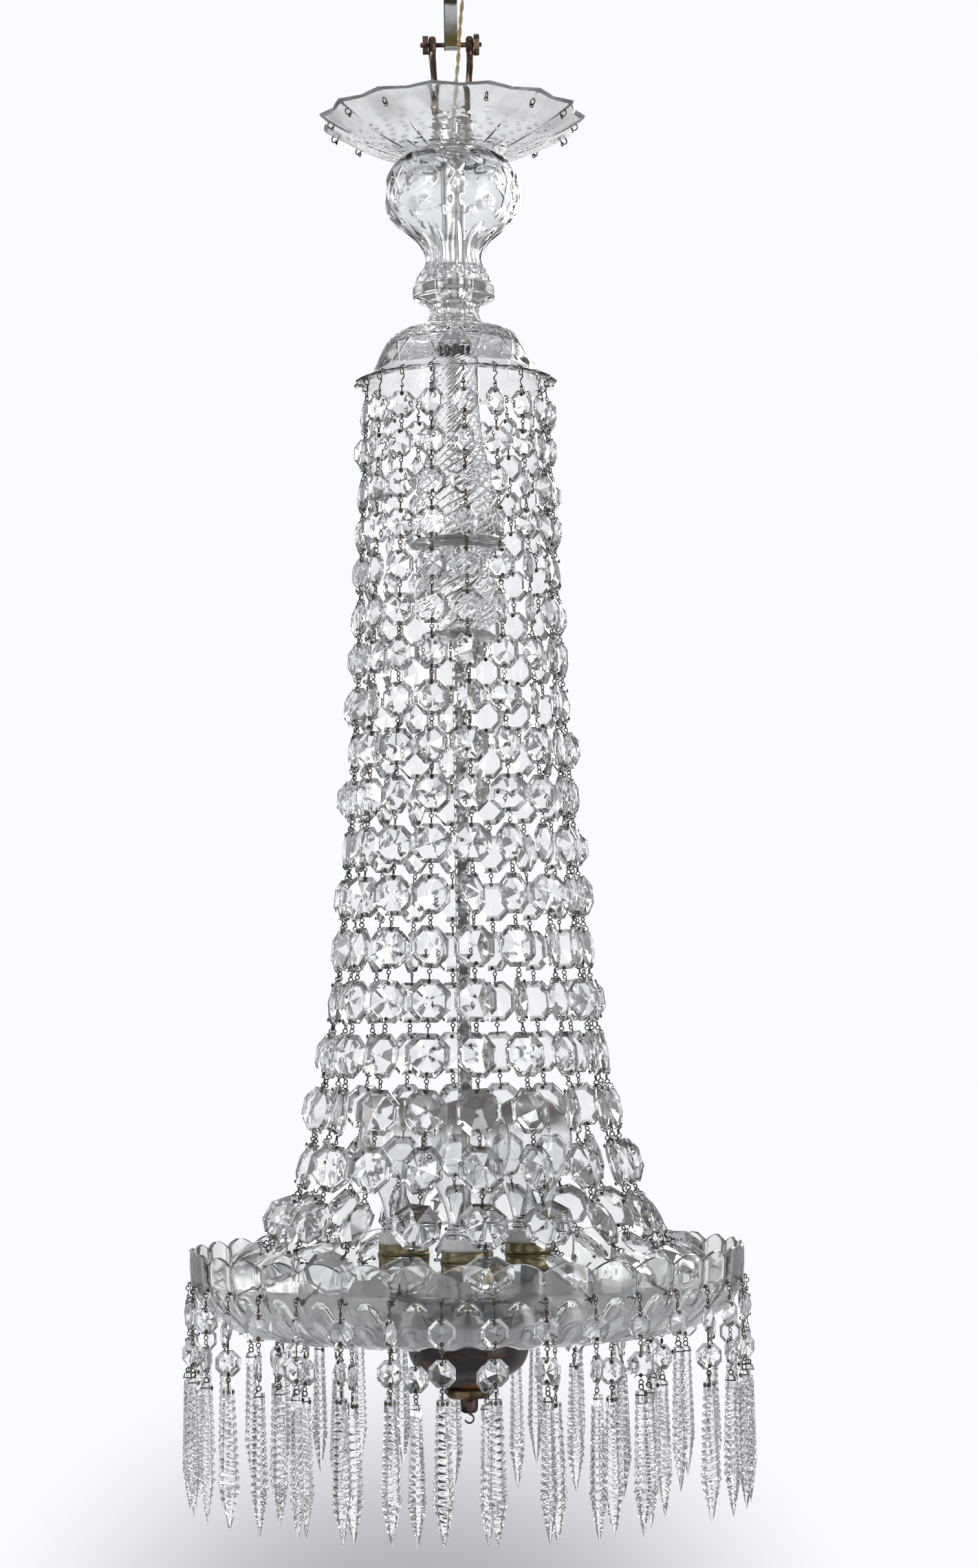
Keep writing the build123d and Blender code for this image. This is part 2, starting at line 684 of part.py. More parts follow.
def string_point(fall):
    """Radius and height of a string, from 0 at its bell hook to 1 at the bowl."""
    run = outward_drift * fall + outward_belly * fall ** 4
    run += (1 - outward_drift - outward_belly) * fall ** 24
    return (string_hook_radius + (string_foot_radius - string_hook_radius) * run,
            string_top + (hook_height - string_top) * fall)


def string_march():
    """The string as (length so far, radius, height, lean), with the lean in degrees off plumb."""
    marks = []
    travelled = 0.0
    before = string_point(0)
    for step in range(1, march_steps + 1):
        now = string_point(step / march_steps)
        outwards = now[0] - before[0]
        downwards = before[1] - now[1]
        travelled += hypot(outwards, downwards)
        marks.append((travelled, now[0], now[1], degrees(atan2(outwards, downwards))))
        before = now
    return marks


string_marks = string_march()
octagon_sizes = [top_octagon + (bottom_octagon - top_octagon) * row / (string_rows - 1)
                 for row in range(string_rows)]
string_spare = string_marks[-1][0] - top_wire - tie_wire - sum(octagon_sizes)
octagon_gap = string_spare / (string_rows - 1)


def string_place(length):
    """The mark at a length along the string."""
    return next((mark for mark in string_marks if mark[0] >= length), string_marks[-1])


def hung(angle, mark):
    """A location at a mark of a string, with -Z down the string and -Y outwards."""
    _, radius, height, lean = mark
    return around(angle, radius, height) * Rot(-lean, 0, 0)


def stone_yaw(row, string):
    """How far a stone of the tent is turned about its string, in degrees."""
    return (octagon_yaw + octagon_yaw_row * sin(2.4 * row + 1.7 * string)
            + octagon_yaw_string * sin(5.1 * string + 0.7 * row))


string_angles = [string_first + 360 / string_count * index for index in range(string_count)]
stone_marks = []
stone_middle = top_wire + top_octagon / 2
for row, across in enumerate(octagon_sizes):
    stone_marks.append(string_place(stone_middle))
    if row < string_rows - 1:
        stone_middle += (across + octagon_sizes[row + 1]) / 2 + octagon_gap
with BuildPart() as tent_octagons:
    for row, across in enumerate(octagon_sizes):
        stone = octagon(across)
        with Locations(*[hung(angle, stone_marks[row]) * Rot(0, 0, stone_yaw(row, index))
                         for index, angle in enumerate(string_angles)]):
            add(stone)
save(tent_octagons.part, "tent_octagons")


def beside(mark, length):
    """Radius and height of a point at a length further down a stone's own plane."""
    _, radius, height, lean = mark
    return radius + length * sin(radians(lean)), height - length * cos(radians(lean))


wire_starts = [string_point(0)]
wire_starts += [beside(mark, across / 2) for mark, across in zip(stone_marks, octagon_sizes)]
wire_ends = [beside(mark, -across / 2) for mark, across in zip(stone_marks, octagon_sizes)]
wire_ends += [string_point(1)]
with BuildPart() as tent_wires:
    with Locations(*[around(angle, string_hook_radius, bell_rim - hook_play)
                     for angle in string_angles]):
        add(wire(string_hook_length))
    for (inner, upper), (outer, lower) in zip(wire_starts, wire_ends):
        lean = degrees(atan2(outer - inner, upper - lower))
        stay = wire(hypot(outer - inner, upper - lower) - 2 * hook_play)
        with Locations(*[around(angle, inner, upper) * Rot(-lean, 0, 0) * Pos(0, 0, -hook_play)
                         for angle in string_angles]):
            add(stay)
save(tent_wires.part, "tent_wires")

# ------------------------------------------------------------------ pendants
def diamond(height, width, thickness):
    """A level diamond, wide along X."""
    with BuildSketch(Plane.XY.offset(height)) as outline:
        with BuildLine():
            Polyline((-width / 2, 0), (0, -thickness / 2), (width / 2, 0), (0, thickness / 2),
                     (-width / 2, 0))
        make_face()
    return outline.sketch.face()


with BuildPart() as prism:
    widest = diamond(-prism_length * prism_belly, prism_width, prism_thickness)
    loft([diamond(0, prism_head, prism_head * 0.8), widest], ruled=True)
    loft([widest, Vertex(0, 0, -prism_length)], ruled=True)


def pendant(first_wire, octagons):
    """A pendant that hangs from the origin: wires and octagons over a pointed prism."""
    stone = octagon(pendant_octagon)
    with BuildPart() as chain:
        reached = hook_play + hook_radius
        for index in range(octagons):
            length = first_wire if index == 0 else pendant_wire
            with Locations((0, 0, -reached)):
                add(wire(length - hook_play))
            reached += length
            with Locations((0, 0, -reached - pendant_octagon / 2)):
                add(stone)
            reached += pendant_octagon
        with Locations((0, 0, -reached - hook_play)):
            add(wire(pendant_wire - 2 * hook_play))
        reached += pendant_wire
        with Locations((0, 0, -reached)):
            add(prism.part)
    return chain.part


outer_pendant = pendant(pendant_wire, 2)
lone_pendant = pendant(pendant_wire, 1)
inner_pendant = pendant(pendant_wire - 2.0, 1)
outer_circle = hook_wall + hook_reach - hook_grip
for pair in range(bowl_scallops // 2):
    with BuildPart() as outer_pair:
        for angle in hook_angles[2 * pair:2 * pair + 2]:
            with Locations(around(angle, outer_circle, hook_height)):
                add(lone_pendant if angle == short_pendant else outer_pendant)
    save(outer_pair.part, f"outer_pendants_{pair + 1:02d}")
for pair in range(inner_count // 2):
    with BuildPart() as inner_pair:
        for angle in inner_angles[2 * pair:2 * pair + 2]:
            with Locations(around(angle, inner_circle, bowl_bottom - hook_reach)):
                add(inner_pendant)
    save(inner_pair.part, f"inner_pendants_{pair + 1:02d}")
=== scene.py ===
"""Crystal chandelier: the looks of every piece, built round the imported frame.

Metres.  +Z is up, the front is -Y and the origin is the centre of the hanger strap's hole.
An angle is counted from the front towards +X, and a drop is counted downwards.
"""
from math import atan2, cos, hypot, pi, radians, sin, tau

import bmesh
import bpy
from mathutils import Matrix, Vector


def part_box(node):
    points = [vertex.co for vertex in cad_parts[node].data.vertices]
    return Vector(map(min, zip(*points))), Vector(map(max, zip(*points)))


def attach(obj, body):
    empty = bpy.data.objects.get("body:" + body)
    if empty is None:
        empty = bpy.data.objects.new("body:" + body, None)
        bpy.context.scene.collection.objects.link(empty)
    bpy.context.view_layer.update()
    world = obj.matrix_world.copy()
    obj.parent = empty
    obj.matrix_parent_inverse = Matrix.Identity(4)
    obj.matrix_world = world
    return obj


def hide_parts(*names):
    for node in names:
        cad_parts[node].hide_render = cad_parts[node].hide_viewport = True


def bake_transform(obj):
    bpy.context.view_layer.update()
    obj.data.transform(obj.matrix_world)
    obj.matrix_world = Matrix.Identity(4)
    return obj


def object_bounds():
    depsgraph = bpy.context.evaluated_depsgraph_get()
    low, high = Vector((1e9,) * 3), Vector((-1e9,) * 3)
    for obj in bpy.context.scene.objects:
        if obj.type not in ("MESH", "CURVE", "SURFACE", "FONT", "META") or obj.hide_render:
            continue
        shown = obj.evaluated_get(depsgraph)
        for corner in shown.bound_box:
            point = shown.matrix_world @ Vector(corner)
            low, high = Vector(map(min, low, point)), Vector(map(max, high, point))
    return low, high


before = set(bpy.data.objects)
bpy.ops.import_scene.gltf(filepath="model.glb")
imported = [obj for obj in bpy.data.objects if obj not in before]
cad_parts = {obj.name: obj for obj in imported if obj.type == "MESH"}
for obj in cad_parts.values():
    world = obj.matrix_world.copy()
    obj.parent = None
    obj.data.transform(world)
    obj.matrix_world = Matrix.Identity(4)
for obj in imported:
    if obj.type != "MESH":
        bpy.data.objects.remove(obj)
cad_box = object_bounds()


# ------------------------------------------------------------------ sizes that no single node gives
string_count = 18
string_first = radians(5.0)
string_rows = 19
string_hook_radius = 0.064
string_drop = 0.0040              # from the bell's rim to a string's start
top_octagon = 0.019
bottom_octagon = 0.033
top_wire = 0.0095                 # from a string's start to its first stone
tie_wire = 0.018                  # from its last stone to the bowl's hook
outward_drift = 0.19              # how a string runs outwards: evenly,
outward_belly = 0.375             # and then in a curve that grows towards the bowl
drilling = 0.0024                 # from a stone's edge to its pin
bowl_wall = 0.004
scallops = 36
scallop_rise = 0.0065
flute_start = 0.024               # from the scallop tops to the flutes below them
hook_drop = 0.0255                # from the scallop tops to the pendant hooks
hook_wall_radius = 0.18911        # the bowl's outer wall at the hooks
hook_reach = 0.0026               # from that wall to the pendants' line
inner_circle = 0.133
inner_drop = 0.0036               # from the bowl's underside to the inner pendants' eyes
pendant_octagon = 0.0173
pendant_wire = 0.0076
inner_wire = 0.0056               # from an inner pendant's eye to its stone
thin_wire = 0.00042               # radius of the wires that swing
prism_length = 0.0926
prism_width = 0.0148
prism_thickness = 0.0094
prism_head = 0.0082
prism_belly = 0.68                # how far down it is widest, as a share of its length
short_pendant = 4                 # the outer pendant with a single octagon, counted from 0
nut_across = 0.013                # across the flats of the bolt's nuts
dish_points = 15
dish_first_point = radians(16.0)
bare_point = 7                    # the dish's point without a ring
lamp_circle = 0.051
shell_bore = 0.0146               # inside a lampholder and its ring
stem_bore = 0.0088
rod_bore = 0.0033
seam = 0.0001                     # air between a glass and its neighbour
plain = (1.0, 1.0, 1.0)           # a repeated shape at its own size


def top(node):
    """The highest level of a node."""
    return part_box(node)[1].z


def bottom(node):
    """The lowest level of a node."""
    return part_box(node)[0].z


bolt_height = (top("hanger_bolt") + bottom("hanger_bolt")) / 2
boss_top = top("stem_boss")
dish_rim = top("crown_dish")
dish_bottom = bottom("crown_dish")
baluster_bottom = bottom("baluster")
bell_rim = bottom("bell_canopy")
pear_top = top("twist_pear")
pear_bottom = bottom("twist_pear")
vase_top = top("twist_vase")
vase_bottom = bottom("twist_vase")
rope_top = top("rope_tube")
rope_bottom = bottom("rope_tube")
plate_top = top("lamp_plate")
bowl_rim = top("bowl")
bowl_bottom = bottom("bowl")
hook_height = bowl_rim - hook_drop


def added(name, data):
    """A new object in the scene."""
    thing = bpy.data.objects.new(name, data)
    bpy.context.scene.collection.objects.link(thing)
    return thing


# ------------------------------------------------------------------ camera
camera_place = (0.0, -2.190, -0.7335)
camera_lens = 72.28
camera_tilt = radians(4.32)       # upwards
camera_pan = radians(0.452)       # to the right, so that the stem stands left of the middle
camera_roll = radians(0.81)       # the stem's head leans to the left


def make_camera():
    """The camera that sees the piece as it was photographed."""
    data = bpy.data.cameras.new("camera")
    data.lens = camera_lens
    camera = added("camera", data)
    camera.location = camera_place
    camera.rotation_euler = (pi / 2 + camera_tilt, camera_roll, -camera_pan)
    bpy.context.scene.camera = camera


# ------------------------------------------------------------------ node maths
class Value:
    """A node's output that takes part in plain sums; each step adds its Math node."""

    def __init__(self, nodes, socket):
        self.nodes = nodes
        self.socket = socket

    def of(self, name):
        """Another output of the same node."""
        return Value(self.nodes, self.nodes.find(self.socket.node.outputs, name))

    def __add__(self, other):
        return self.nodes.math("ADD", self, other)

    def __sub__(self, other):
        return self.nodes.math("SUBTRACT", self, other)

    def __rsub__(self, other):
        return self.nodes.math("SUBTRACT", other, self)

    def __mul__(self, other):
        return self.nodes.math("MULTIPLY", self, other)

    def __truediv__(self, other):
        return self.nodes.math("DIVIDE", self, other)

    def __pow__(self, other):
        return self.nodes.math("POWER", self, other)

    def __gt__(self, other):
        return self.nodes.math("GREATER_THAN", self, other)

    def __abs__(self):
        return self.nodes.math("ABSOLUTE", self)

    __radd__ = __add__
    __rmul__ = __mul__


class Nodes:
    """One node tree, for a material, the world or Geometry Nodes."""

    def __init__(self, tree):
        self.tree = tree
        tree.nodes.clear()

    @staticmethod
    def find(sockets, key):
        """The socket with a number or a name, or the first in use."""
        if isinstance(key, int):
            return sockets[key]
        return next(socket for socket in sockets if socket.enabled and key in (None, socket.name))

    def add(self, kind, settings=None, sockets=None, output=None):
        """A node of a type, its settings first, then the values or links of its sockets."""
        node = self.tree.nodes.new(kind)
        for name, setting in (settings or {}).items():
            setattr(node, name, setting)
        for key, value in (sockets or {}).items():
            socket = self.find(node.inputs, key)
            if isinstance(value, Value):
                self.tree.links.new(value.socket, socket)
            else:
                socket.default_value = value
        return Value(self, self.find(node.outputs, output)) if node.outputs else None

    def math(self, operation, *values):
        """A Math node over numbers or outputs."""
        return self.add("ShaderNodeMath", {"operation": operation}, dict(enumerate(values)))

    def mix(self, factor, first, second):
        """One colour passing into another."""
        return self.add("ShaderNodeMix", {"data_type": "RGBA"}, {0: factor, 6: first, 7: second}, 2)

    def spread(self, value, low, high, first=0.0, last=1.0):
        """A soft step: first where the value is low, last where it is high."""
        return self.add("ShaderNodeMapRange", {"interpolation_type": "SMOOTHSTEP"},
                        {"Value": value, "From Min": low, "From Max": high, "To Min": first, "To Max": last})

    def place(self):
        """The point in the object's own frame."""
        return self.add("ShaderNodeTexCoord", output="Object")

    def split(self, vector, axis="X"):
        """One of a vector's components; of() gives the others."""
        return self.add("ShaderNodeSeparateXYZ", sockets={0: vector}, output=axis)

    def stretched(self, scale):
        """The object's point with each axis scaled."""
        return self.add("ShaderNodeMapping", sockets={"Vector": self.place(), "Scale": scale})

    def noise(self, scale, detail=3.0, at=None):
        """Cloudy noise, with about one cloud in 1 / scale metres."""
        return self.add("ShaderNodeTexNoise", sockets={"Vector": at or self.place(), "Scale": scale,
                                                       "Detail": detail}, output=0)

    def bump(self, height, distance, strength):
        """A normal that follows a height."""
        return self.add("ShaderNodeBump", sockets={"Height": height, "Distance": distance,
                                                   "Strength": strength})

    def surface(self, colour, roughness, **constants):
        """The finished shader; constants name its other sockets, with _ for a space."""
        sockets = {"Base Color": colour, "Roughness": roughness}
        sockets.update({name.replace("_", " "): value for name, value in constants.items()})
        shader = self.add("ShaderNodeBsdfPrincipled", sockets=sockets)
        self.add("ShaderNodeOutputMaterial", sockets={"Surface": shader})


def new_finish(name):
    """An empty material, and the Nodes to fill it."""
    finish = bpy.data.materials.new(name)
    finish.use_nodes = True
    return finish, Nodes(finish.node_tree)


# ------------------------------------------------------------------ finishes
def coated_glass(nodes, tint, roughness, film, coat):
    """Clear glass under a film that hides it by a share."""
    glass = nodes.add("ShaderNodeBsdfPrincipled", sockets={"Base Color": tint, "Roughness": roughness,
                                                           "Transmission Weight": 1.0, "IOR": 1.52})
    layer = nodes.add("ShaderNodeBsdfPrincipled", sockets={"Base Color": coat, "Roughness": 0.8})
    shader = nodes.add("ShaderNodeMixShader", sockets={0: film, 1: glass, 2: layer})
    nodes.add("ShaderNodeOutputMaterial", sockets={"Surface": shader})


def glass_finish(name, tint, clouding, dusting, dusty_from=0.0):
    """Cut glass, clouded and dusty in patches; the dust starts at a distance from the stem."""
    finish, nodes = new_finish(name)
    patches = nodes.spread(nodes.noise(38.0, 5.0), 0.40, 0.72)
    specks = nodes.spread(nodes.noise(1500.0, 2.0), 0.58, 0.72)
    spot = nodes.split(nodes.place())
    away = (spot * spot + spot.of("Y") * spot.of("Y")) ** 0.5
    outside = nodes.spread(away, dusty_from - 0.010, dusty_from + 0.010, 0.25, 1.0)
    film = (patches * 0.7 + specks * 0.6 + 0.1) * outside * dusting
    coated_glass(nodes, tint, patches * outside * clouding + 0.004, film, (0.66, 0.67, 0.68, 1))
    return finish


def bulb_finish():
    """Thin blown glass, with the brown-grey bloom of a used lamp at its crown."""
    finish, nodes = new_finish("blown_glass")
    height = nodes.split(nodes.place(), "Z")
    crown = nodes.spread(height, bulb_top - 0.030, bulb_top - 0.002)
    bloom = crown * nodes.spread(nodes.noise(60.0), 0.3, 0.7, 0.6, 1.0)
    coated_glass(nodes, (0.93, 0.935, 0.94, 1), bloom * 0.3 + 0.005, bloom * 0.80, (0.33, 0.30, 0.28, 1))
    return finish


def strap_finish():
    """Worn nickel on the strap, dark in its painted shade at the top, with painted shade in olive brown
    where it turns in and along its left edge, and a painted highlight as a bright strip at the bottom.
    """
    finish, nodes = new_finish("strap_nickel")
    spot = nodes.split(nodes.place(), "Z")
    clouds = nodes.noise(150.0, 6.0)
    height = spot + clouds * 0.004 - 0.002
    worn = nodes.spread(spot - clouds * 0.012, -0.040, -0.022, 1.0, 0.0)
    face = nodes.mix(worn, (0.55, 0.535, 0.53, 1), (0.20, 0.18, 0.15, 1))
    shaded = nodes.mix(nodes.spread(height, -0.0150, -0.0120), face, (0.045, 0.050, 0.035, 1))
    # Painted shade: olive brown where the strap turns in.
    painted_shade_bend = nodes.mix(nodes.spread(height, -0.0375, -0.0320, 1.0, 0.0), shaded, (0.13, 0.11, 0.045, 1))
    # Painted highlight: a bright strip along the strap's bottom.
    painted_highlight_strip = nodes.mix(nodes.spread(spot, -0.0438, -0.0430, 1.0, 0.0), painted_shade_bend, (0.80, 0.79, 0.76, 1))
    # Painted shade: darker along the strap's left edge.
    side = nodes.mix(nodes.spread(spot.of("X"), -0.0045, -0.0036, 1.0, 0.0), painted_highlight_strip, (0.06, 0.055, 0.05, 1))
    nodes.surface(side, clouds * 0.3 + 0.22, Metallic=1.0, Normal=nodes.bump(clouds, 0.0001, 0.3))
    return finish


def metal_finish(name, bright, dull, tarnish, roughness=0.28, grain=plain, size=120.0):
    """Worn metal: bright where it is worn bare and dull in its tarnished patches."""
    finish, nodes = new_finish(name)
    at = nodes.stretched(grain)
    clouds = nodes.noise(size, 6.0, at)
    patches = nodes.spread(clouds, 0.62 - tarnish * 0.3, 0.80 - tarnish * 0.3)
    scratches = nodes.noise(size * 14, 2.0, at)
    colour = nodes.mix(patches, bright, dull)
    rough = patches * 0.30 + scratches * 0.12 + (roughness - 0.06)
    nodes.surface(colour, rough, Metallic=1.0,
                  Normal=nodes.bump(scratches + clouds * 0.6, 0.00006, 0.5))
    return finish


def enamel_finish():
    """White enamel gone grey, with dark speckles and a dull film."""
    finish, nodes = new_finish("pan_enamel")
    specks = nodes.spread(nodes.noise(700.0, 2.0), 0.64, 0.70)
    clouds = nodes.spread(nodes.noise(25.0, 5.0), 0.35, 0.75)
    worn = nodes.mix(clouds, (0.62, 0.62, 0.62, 1), (0.40, 0.40, 0.41, 1))
    colour = nodes.mix(specks * 0.6, worn, (0.10, 0.09, 0.09, 1))
    nodes.surface(colour, clouds * 0.25 + 0.30, Metallic=0.35)
    return finish


def porcelain_finish():
    """White glaze with a little grime."""
    finish, nodes = new_finish("white_ribbed")
    grime = nodes.spread(nodes.noise(180.0, 4.0), 0.45, 0.8)
    colour = nodes.mix(grime * 0.5, (0.70, 0.70, 0.69, 1), (0.45, 0.44, 0.40, 1))
    nodes.surface(colour, grime * 0.2 + 0.28)
    return finish


def wood_finish():
    """Dark polished wood with its grain across the piece."""
    finish, nodes = new_finish("turned_wood")
    figure = nodes.spread(nodes.noise(26.0, 6.0, nodes.stretched((1.0, 1.6, 4.5))), 0.46, 0.70)
    pores = nodes.noise(260.0, 3.0, nodes.stretched((1.0, 3.0, 10.0)))
    colour = nodes.mix(figure * (pores * 0.8 + 0.35), (0.012, 0.005, 0.003, 1), (0.190, 0.070, 0.016, 1))
    nodes.surface(colour, pores * 0.2 + 0.26, Coat_Weight=0.15, Coat_Roughness=0.15,
                  Normal=nodes.bump(pores, 0.0001, 0.4))
    return finish


def flex_finish():
    """Two cloth-covered cores, gold and brown, paler towards the dish."""
    finish, nodes = new_finish("gold_flex")
    height = nodes.split(nodes.place(), "Z")
    pale = nodes.spread(height, -0.085, -0.045, 1.0, 0.0)
    threads = nodes.noise(2600.0, 2.0, nodes.stretched((1.0, 1.0, 0.3)))
    cloth = nodes.mix(nodes.spread(threads, 0.35, 0.65), (0.30, 0.17, 0.07, 1), (0.62, 0.44, 0.20, 1))
    colour = nodes.mix(pale, cloth, (0.62, 0.63, 0.50, 1))
    nodes.surface(colour, threads * 0.3 + 0.35, Normal=nodes.bump(threads, 0.0001, 0.8))
    return finish


def plastic_finish():
    """Cream plastic, dulled in patches."""
    finish, nodes = new_finish("moulded_connector")
    grime = nodes.noise(260.0, 4.0)
    colour = nodes.mix(grime, (0.80, 0.79, 0.74, 1), (0.58, 0.56, 0.50, 1))
    nodes.surface(colour, grime * 0.3 + 0.35, Normal=nodes.bump(grime, 0.0001, 0.3))
    return finish


# ------------------------------------------------------------------ shapes as (vertices, faces)
def skinned(rings, closed=False, caps=True):
    """A skin over rings of equal count; the last meets the first when it is closed."""
    count = len(rings[0])
    vertices = [tuple(point) for ring in rings for point in ring]
    faces = []
    for row in range(len(rings) if closed else len(rings) - 1):
        upper = row * count
        lower = (row + 1) % len(rings) * count
        for place in range(count):
            after = (place + 1) % count
            faces.append((upper + place, upper + after, lower + after, lower + place))
    if not closed and caps:
        faces.append(tuple(range(count)))
        faces.append(tuple(range(len(vertices) - count, len(vertices))))
    return vertices, faces


def together(*shapes):
    """Several shapes as one."""
    vertices = []
    faces = []
    for more_vertices, more_faces in shapes:
        start = len(vertices)
        vertices += more_vertices
        faces += [tuple(start + corner for corner in face) for face in more_faces]
    return vertices, faces


def placed(shape, matrix):
    """A shape moved by a matrix."""
    return [tuple(matrix @ Vector(point)) for point in shape[0]], shape[1]


def clamped(share):
    """A share kept between 0 and 1."""
    return max(0.0, min(1.0, share))


def smooth_line(points, steps):
    """Points along a smooth line through the given (radius, height) points."""
    ends = [points[0]] + list(points) + [points[-1]]
    line = []
    for p, q, r, s in zip(ends, ends[1:], ends[2:], ends[3:]):
        for step in range(steps):
            t = step / steps
            line.append(tuple((2 * b + t * (c - a) + t * t * (2 * a - 5 * b + 4 * c - d)
                               + t ** 3 * (3 * b - a - 3 * c + d)) / 2
                              for a, b, c, d in zip(p, q, r, s)))
    return line + [tuple(points[-1])]


def dropped(level, profile, steps=0):
    """(radius, height) points from a profile of (drop, radius) below a level, joined smoothly if steps."""
    points = [(radius, level - drop) for drop, radius in profile]
    return smooth_line(points, steps) if steps else points


def turned(line, sides, centre=(0.0, 0.0), shape=None, closed=True, caps=True):
    """A turned form from (radius, height) points; shape(angle, radius, height) may move each one."""
    rings = []
    for radius, height in line:
        ring = []
        for place in range(sides):
            angle = tau * place / sides
            r, h = shape(angle, radius, height) if shape else (radius, height)
            ring.append((centre[0] + r * sin(angle), centre[1] - r * cos(angle), h))
        rings.append(ring)
    return skinned(rings, closed, caps)


def vessel(outer, inner, sides, cut=None, edge=None):
    """A glass wall: the outer line from top to bottom and the inner line back up.

    cut(angle, radius, height) is how deep the outer face is cut; edge(angle, radius, height) moves
    a point of either face.
    """
    def ring(radius, height, out_r=0.0, out_h=0.0):
        """The points at one level; (out_r, out_h) is the way out of the face that is cut."""
        points = []
        for place in range(sides):
            angle = tau * place / sides
            depth = cut(angle, radius, height) if cut and (out_r or out_h) else 0.0
            r, h = radius - depth * out_r, height - depth * out_h
            if edge:
                r, h = edge(angle, r, h)
            points.append((r * sin(angle), -r * cos(angle), h))
        return points

    rings = []
    for index, (radius, height) in enumerate(outer):
        before = outer[max(index - 1, 0)]
        after = outer[min(index + 1, len(outer) - 1)]
        along = hypot(after[0] - before[0], after[1] - before[1])
        rings.append(ring(radius, height, (before[1] - after[1]) / along, (after[0] - before[0]) / along))
    rings += [ring(radius, height) for radius, height in inner]
    return skinned(rings, closed=True)


def tube(points, radius, sides=6, closed=False):
    """A round wire along points; the radius is a number or one number for each point."""
    points = [Vector(point) for point in points]
    radii = radius if isinstance(radius, list) else [radius] * len(points)
    rings = []
    side = None
    for index, point in enumerate(points):
        before = points[index - 1] if index or closed else point
        after = points[(index + 1) % len(points)] if index < len(points) - 1 or closed else point
        ahead = (after - before).normalized()
        side = ahead.orthogonal() if side is None else side - ahead * side.dot(ahead)
        side = side.normalized()
        up = ahead.cross(side)
        rings.append([point + (side * cos(tau * turn / sides) + up * sin(tau * turn / sides)) * radii[index]
                      for turn in range(sides)])
    return skinned(rings, closed)


def loop(centre, radius, wire, across, steps=8, sides=3):
    """A closed eye of wire whose plane is square to the axis named by across."""
    points = []
    for step in range(steps):
        u = radius * cos(tau * step / steps)
        v = radius * sin(tau * step / steps)
        offset = {"x": (0, u, v), "y": (u, 0, v), "z": (u, v, 0)}[across]
        points.append(Vector(centre) + Vector(offset))
    return tube(points, wire, sides, closed=True)


def around(angle, radius, height):
    """A place on a circle, turned so that its -Y side faces outwards."""
    spot = Matrix.Translation((radius * sin(angle), -radius * cos(angle), height))
    return spot @ Matrix.Rotation(angle, 4, "Z")


def beside(angle, count, first=0.0):
    """The signed angle from the nearest of some evenly spaced directions."""
    step = tau / count
    return (angle - first + step / 2) % step - step / 2


def aside(angle, count, first=0.0):
    """0 on the nearest of some evenly spaced directions, and 1 halfway between two of them."""
    return abs(beside(angle, count, first)) * count / pi


def pressed(cuts, place):
    """A cut function for vessel() from rows of scooped ovals.

    A row of the table is (count, first angle in degrees, where, half width, half height, lean,
    depth) in millimetres and radians, and place(radius, height) is where a point lies on the line.
    """
    rows = [(count, radians(first), where / 1000, 1000 / wide, 1000 / high, max(wide, high) / 1000,
             sin(lean), cos(lean), depth / 1000) for count, first, where, wide, high, lean, depth in cuts]

    def cut(angle, radius, height):
        at = place(radius, height)
        deepest = 0.0
        for count, first, where, wide, high, reach, lean_sin, lean_cos, depth in rows:
            along = at - where
            if abs(along) < reach:
                across = beside(angle, count, first) * radius
                u = (across * lean_cos - along * lean_sin) * wide
                v = (across * lean_sin + along * lean_cos) * high
                deepest = max(deepest, depth * (1 - u * u - v * v))
        return deepest
    return cut


# ------------------------------------------------------------------ pieces
def as_mesh(name, shape, sharp=30.0):
    """A closed mesh with outward faces; edges sharper than an angle in degrees stay crisp."""
    mesh = bpy.data.meshes.new(name)
    mesh.from_pydata(shape[0], [], shape[1])
    work = bmesh.new()
    work.from_mesh(mesh)
    bmesh.ops.remove_doubles(work, verts=work.verts, dist=1e-6)
    bmesh.ops.recalc_face_normals(work, faces=work.faces)
    work.to_mesh(mesh)
    work.free()
    if sharp:
        mesh.shade_smooth()
        mesh.set_sharp_from_angle(angle=radians(sharp))
    return mesh


def set_up(mesh, name, body, stands_for=()):
    """An object for a finished mesh, riding on its body."""
    piece = added(name, mesh)
    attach(piece, body)
    if stands_for:
        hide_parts(*stands_for)


def make(name, shape, finish, stands_for=(), sharp=30.0):
    """A piece of the chandelier's body from a shape."""
    mesh = as_mesh(name, shape, sharp)
    mesh.materials.append(finish)
    set_up(mesh, name, "chandelier", stands_for)


def grown(name, mesh, tree, values, body, stands_for=()):
    """A piece that Geometry Nodes make from a mesh; values are the tree's inputs by name."""
    seed = added(name + "_seed", mesh)
    modifier = seed.modifiers.new("growth", "NODES")
    modifier.node_group = tree
    for item in tree.interface.items_tree:
        if item.in_out == "INPUT" and item.name in values:
            modifier[item.identifier] = values[item.name]
    made = bpy.data.meshes.new_from_object(seed.evaluated_get(bpy.context.evaluated_depsgraph_get()))
    seed.modifiers.remove(modifier)
    bpy.data.objects.remove(seed)
    made.name = name
    set_up(made, name, body, stands_for)


def new_tree(name, inputs):
    """An empty Geometry Nodes tree with named inputs, and the Nodes and input values to fill it."""
    tree = bpy.data.node_groups.new(name, "GeometryNodeTree")
    tree.interface.new_socket("Geometry", in_out="INPUT", socket_type="NodeSocketGeometry")
    for label, kind in inputs.items():
        tree.interface.new_socket(label, in_out="INPUT", socket_type="NodeSocket" + kind)
    tree.interface.new_socket("Geometry", in_out="OUTPUT", socket_type="NodeSocketGeometry")
    nodes = Nodes(tree)
    given = nodes.add("NodeGroupInput")
    return tree, nodes, given


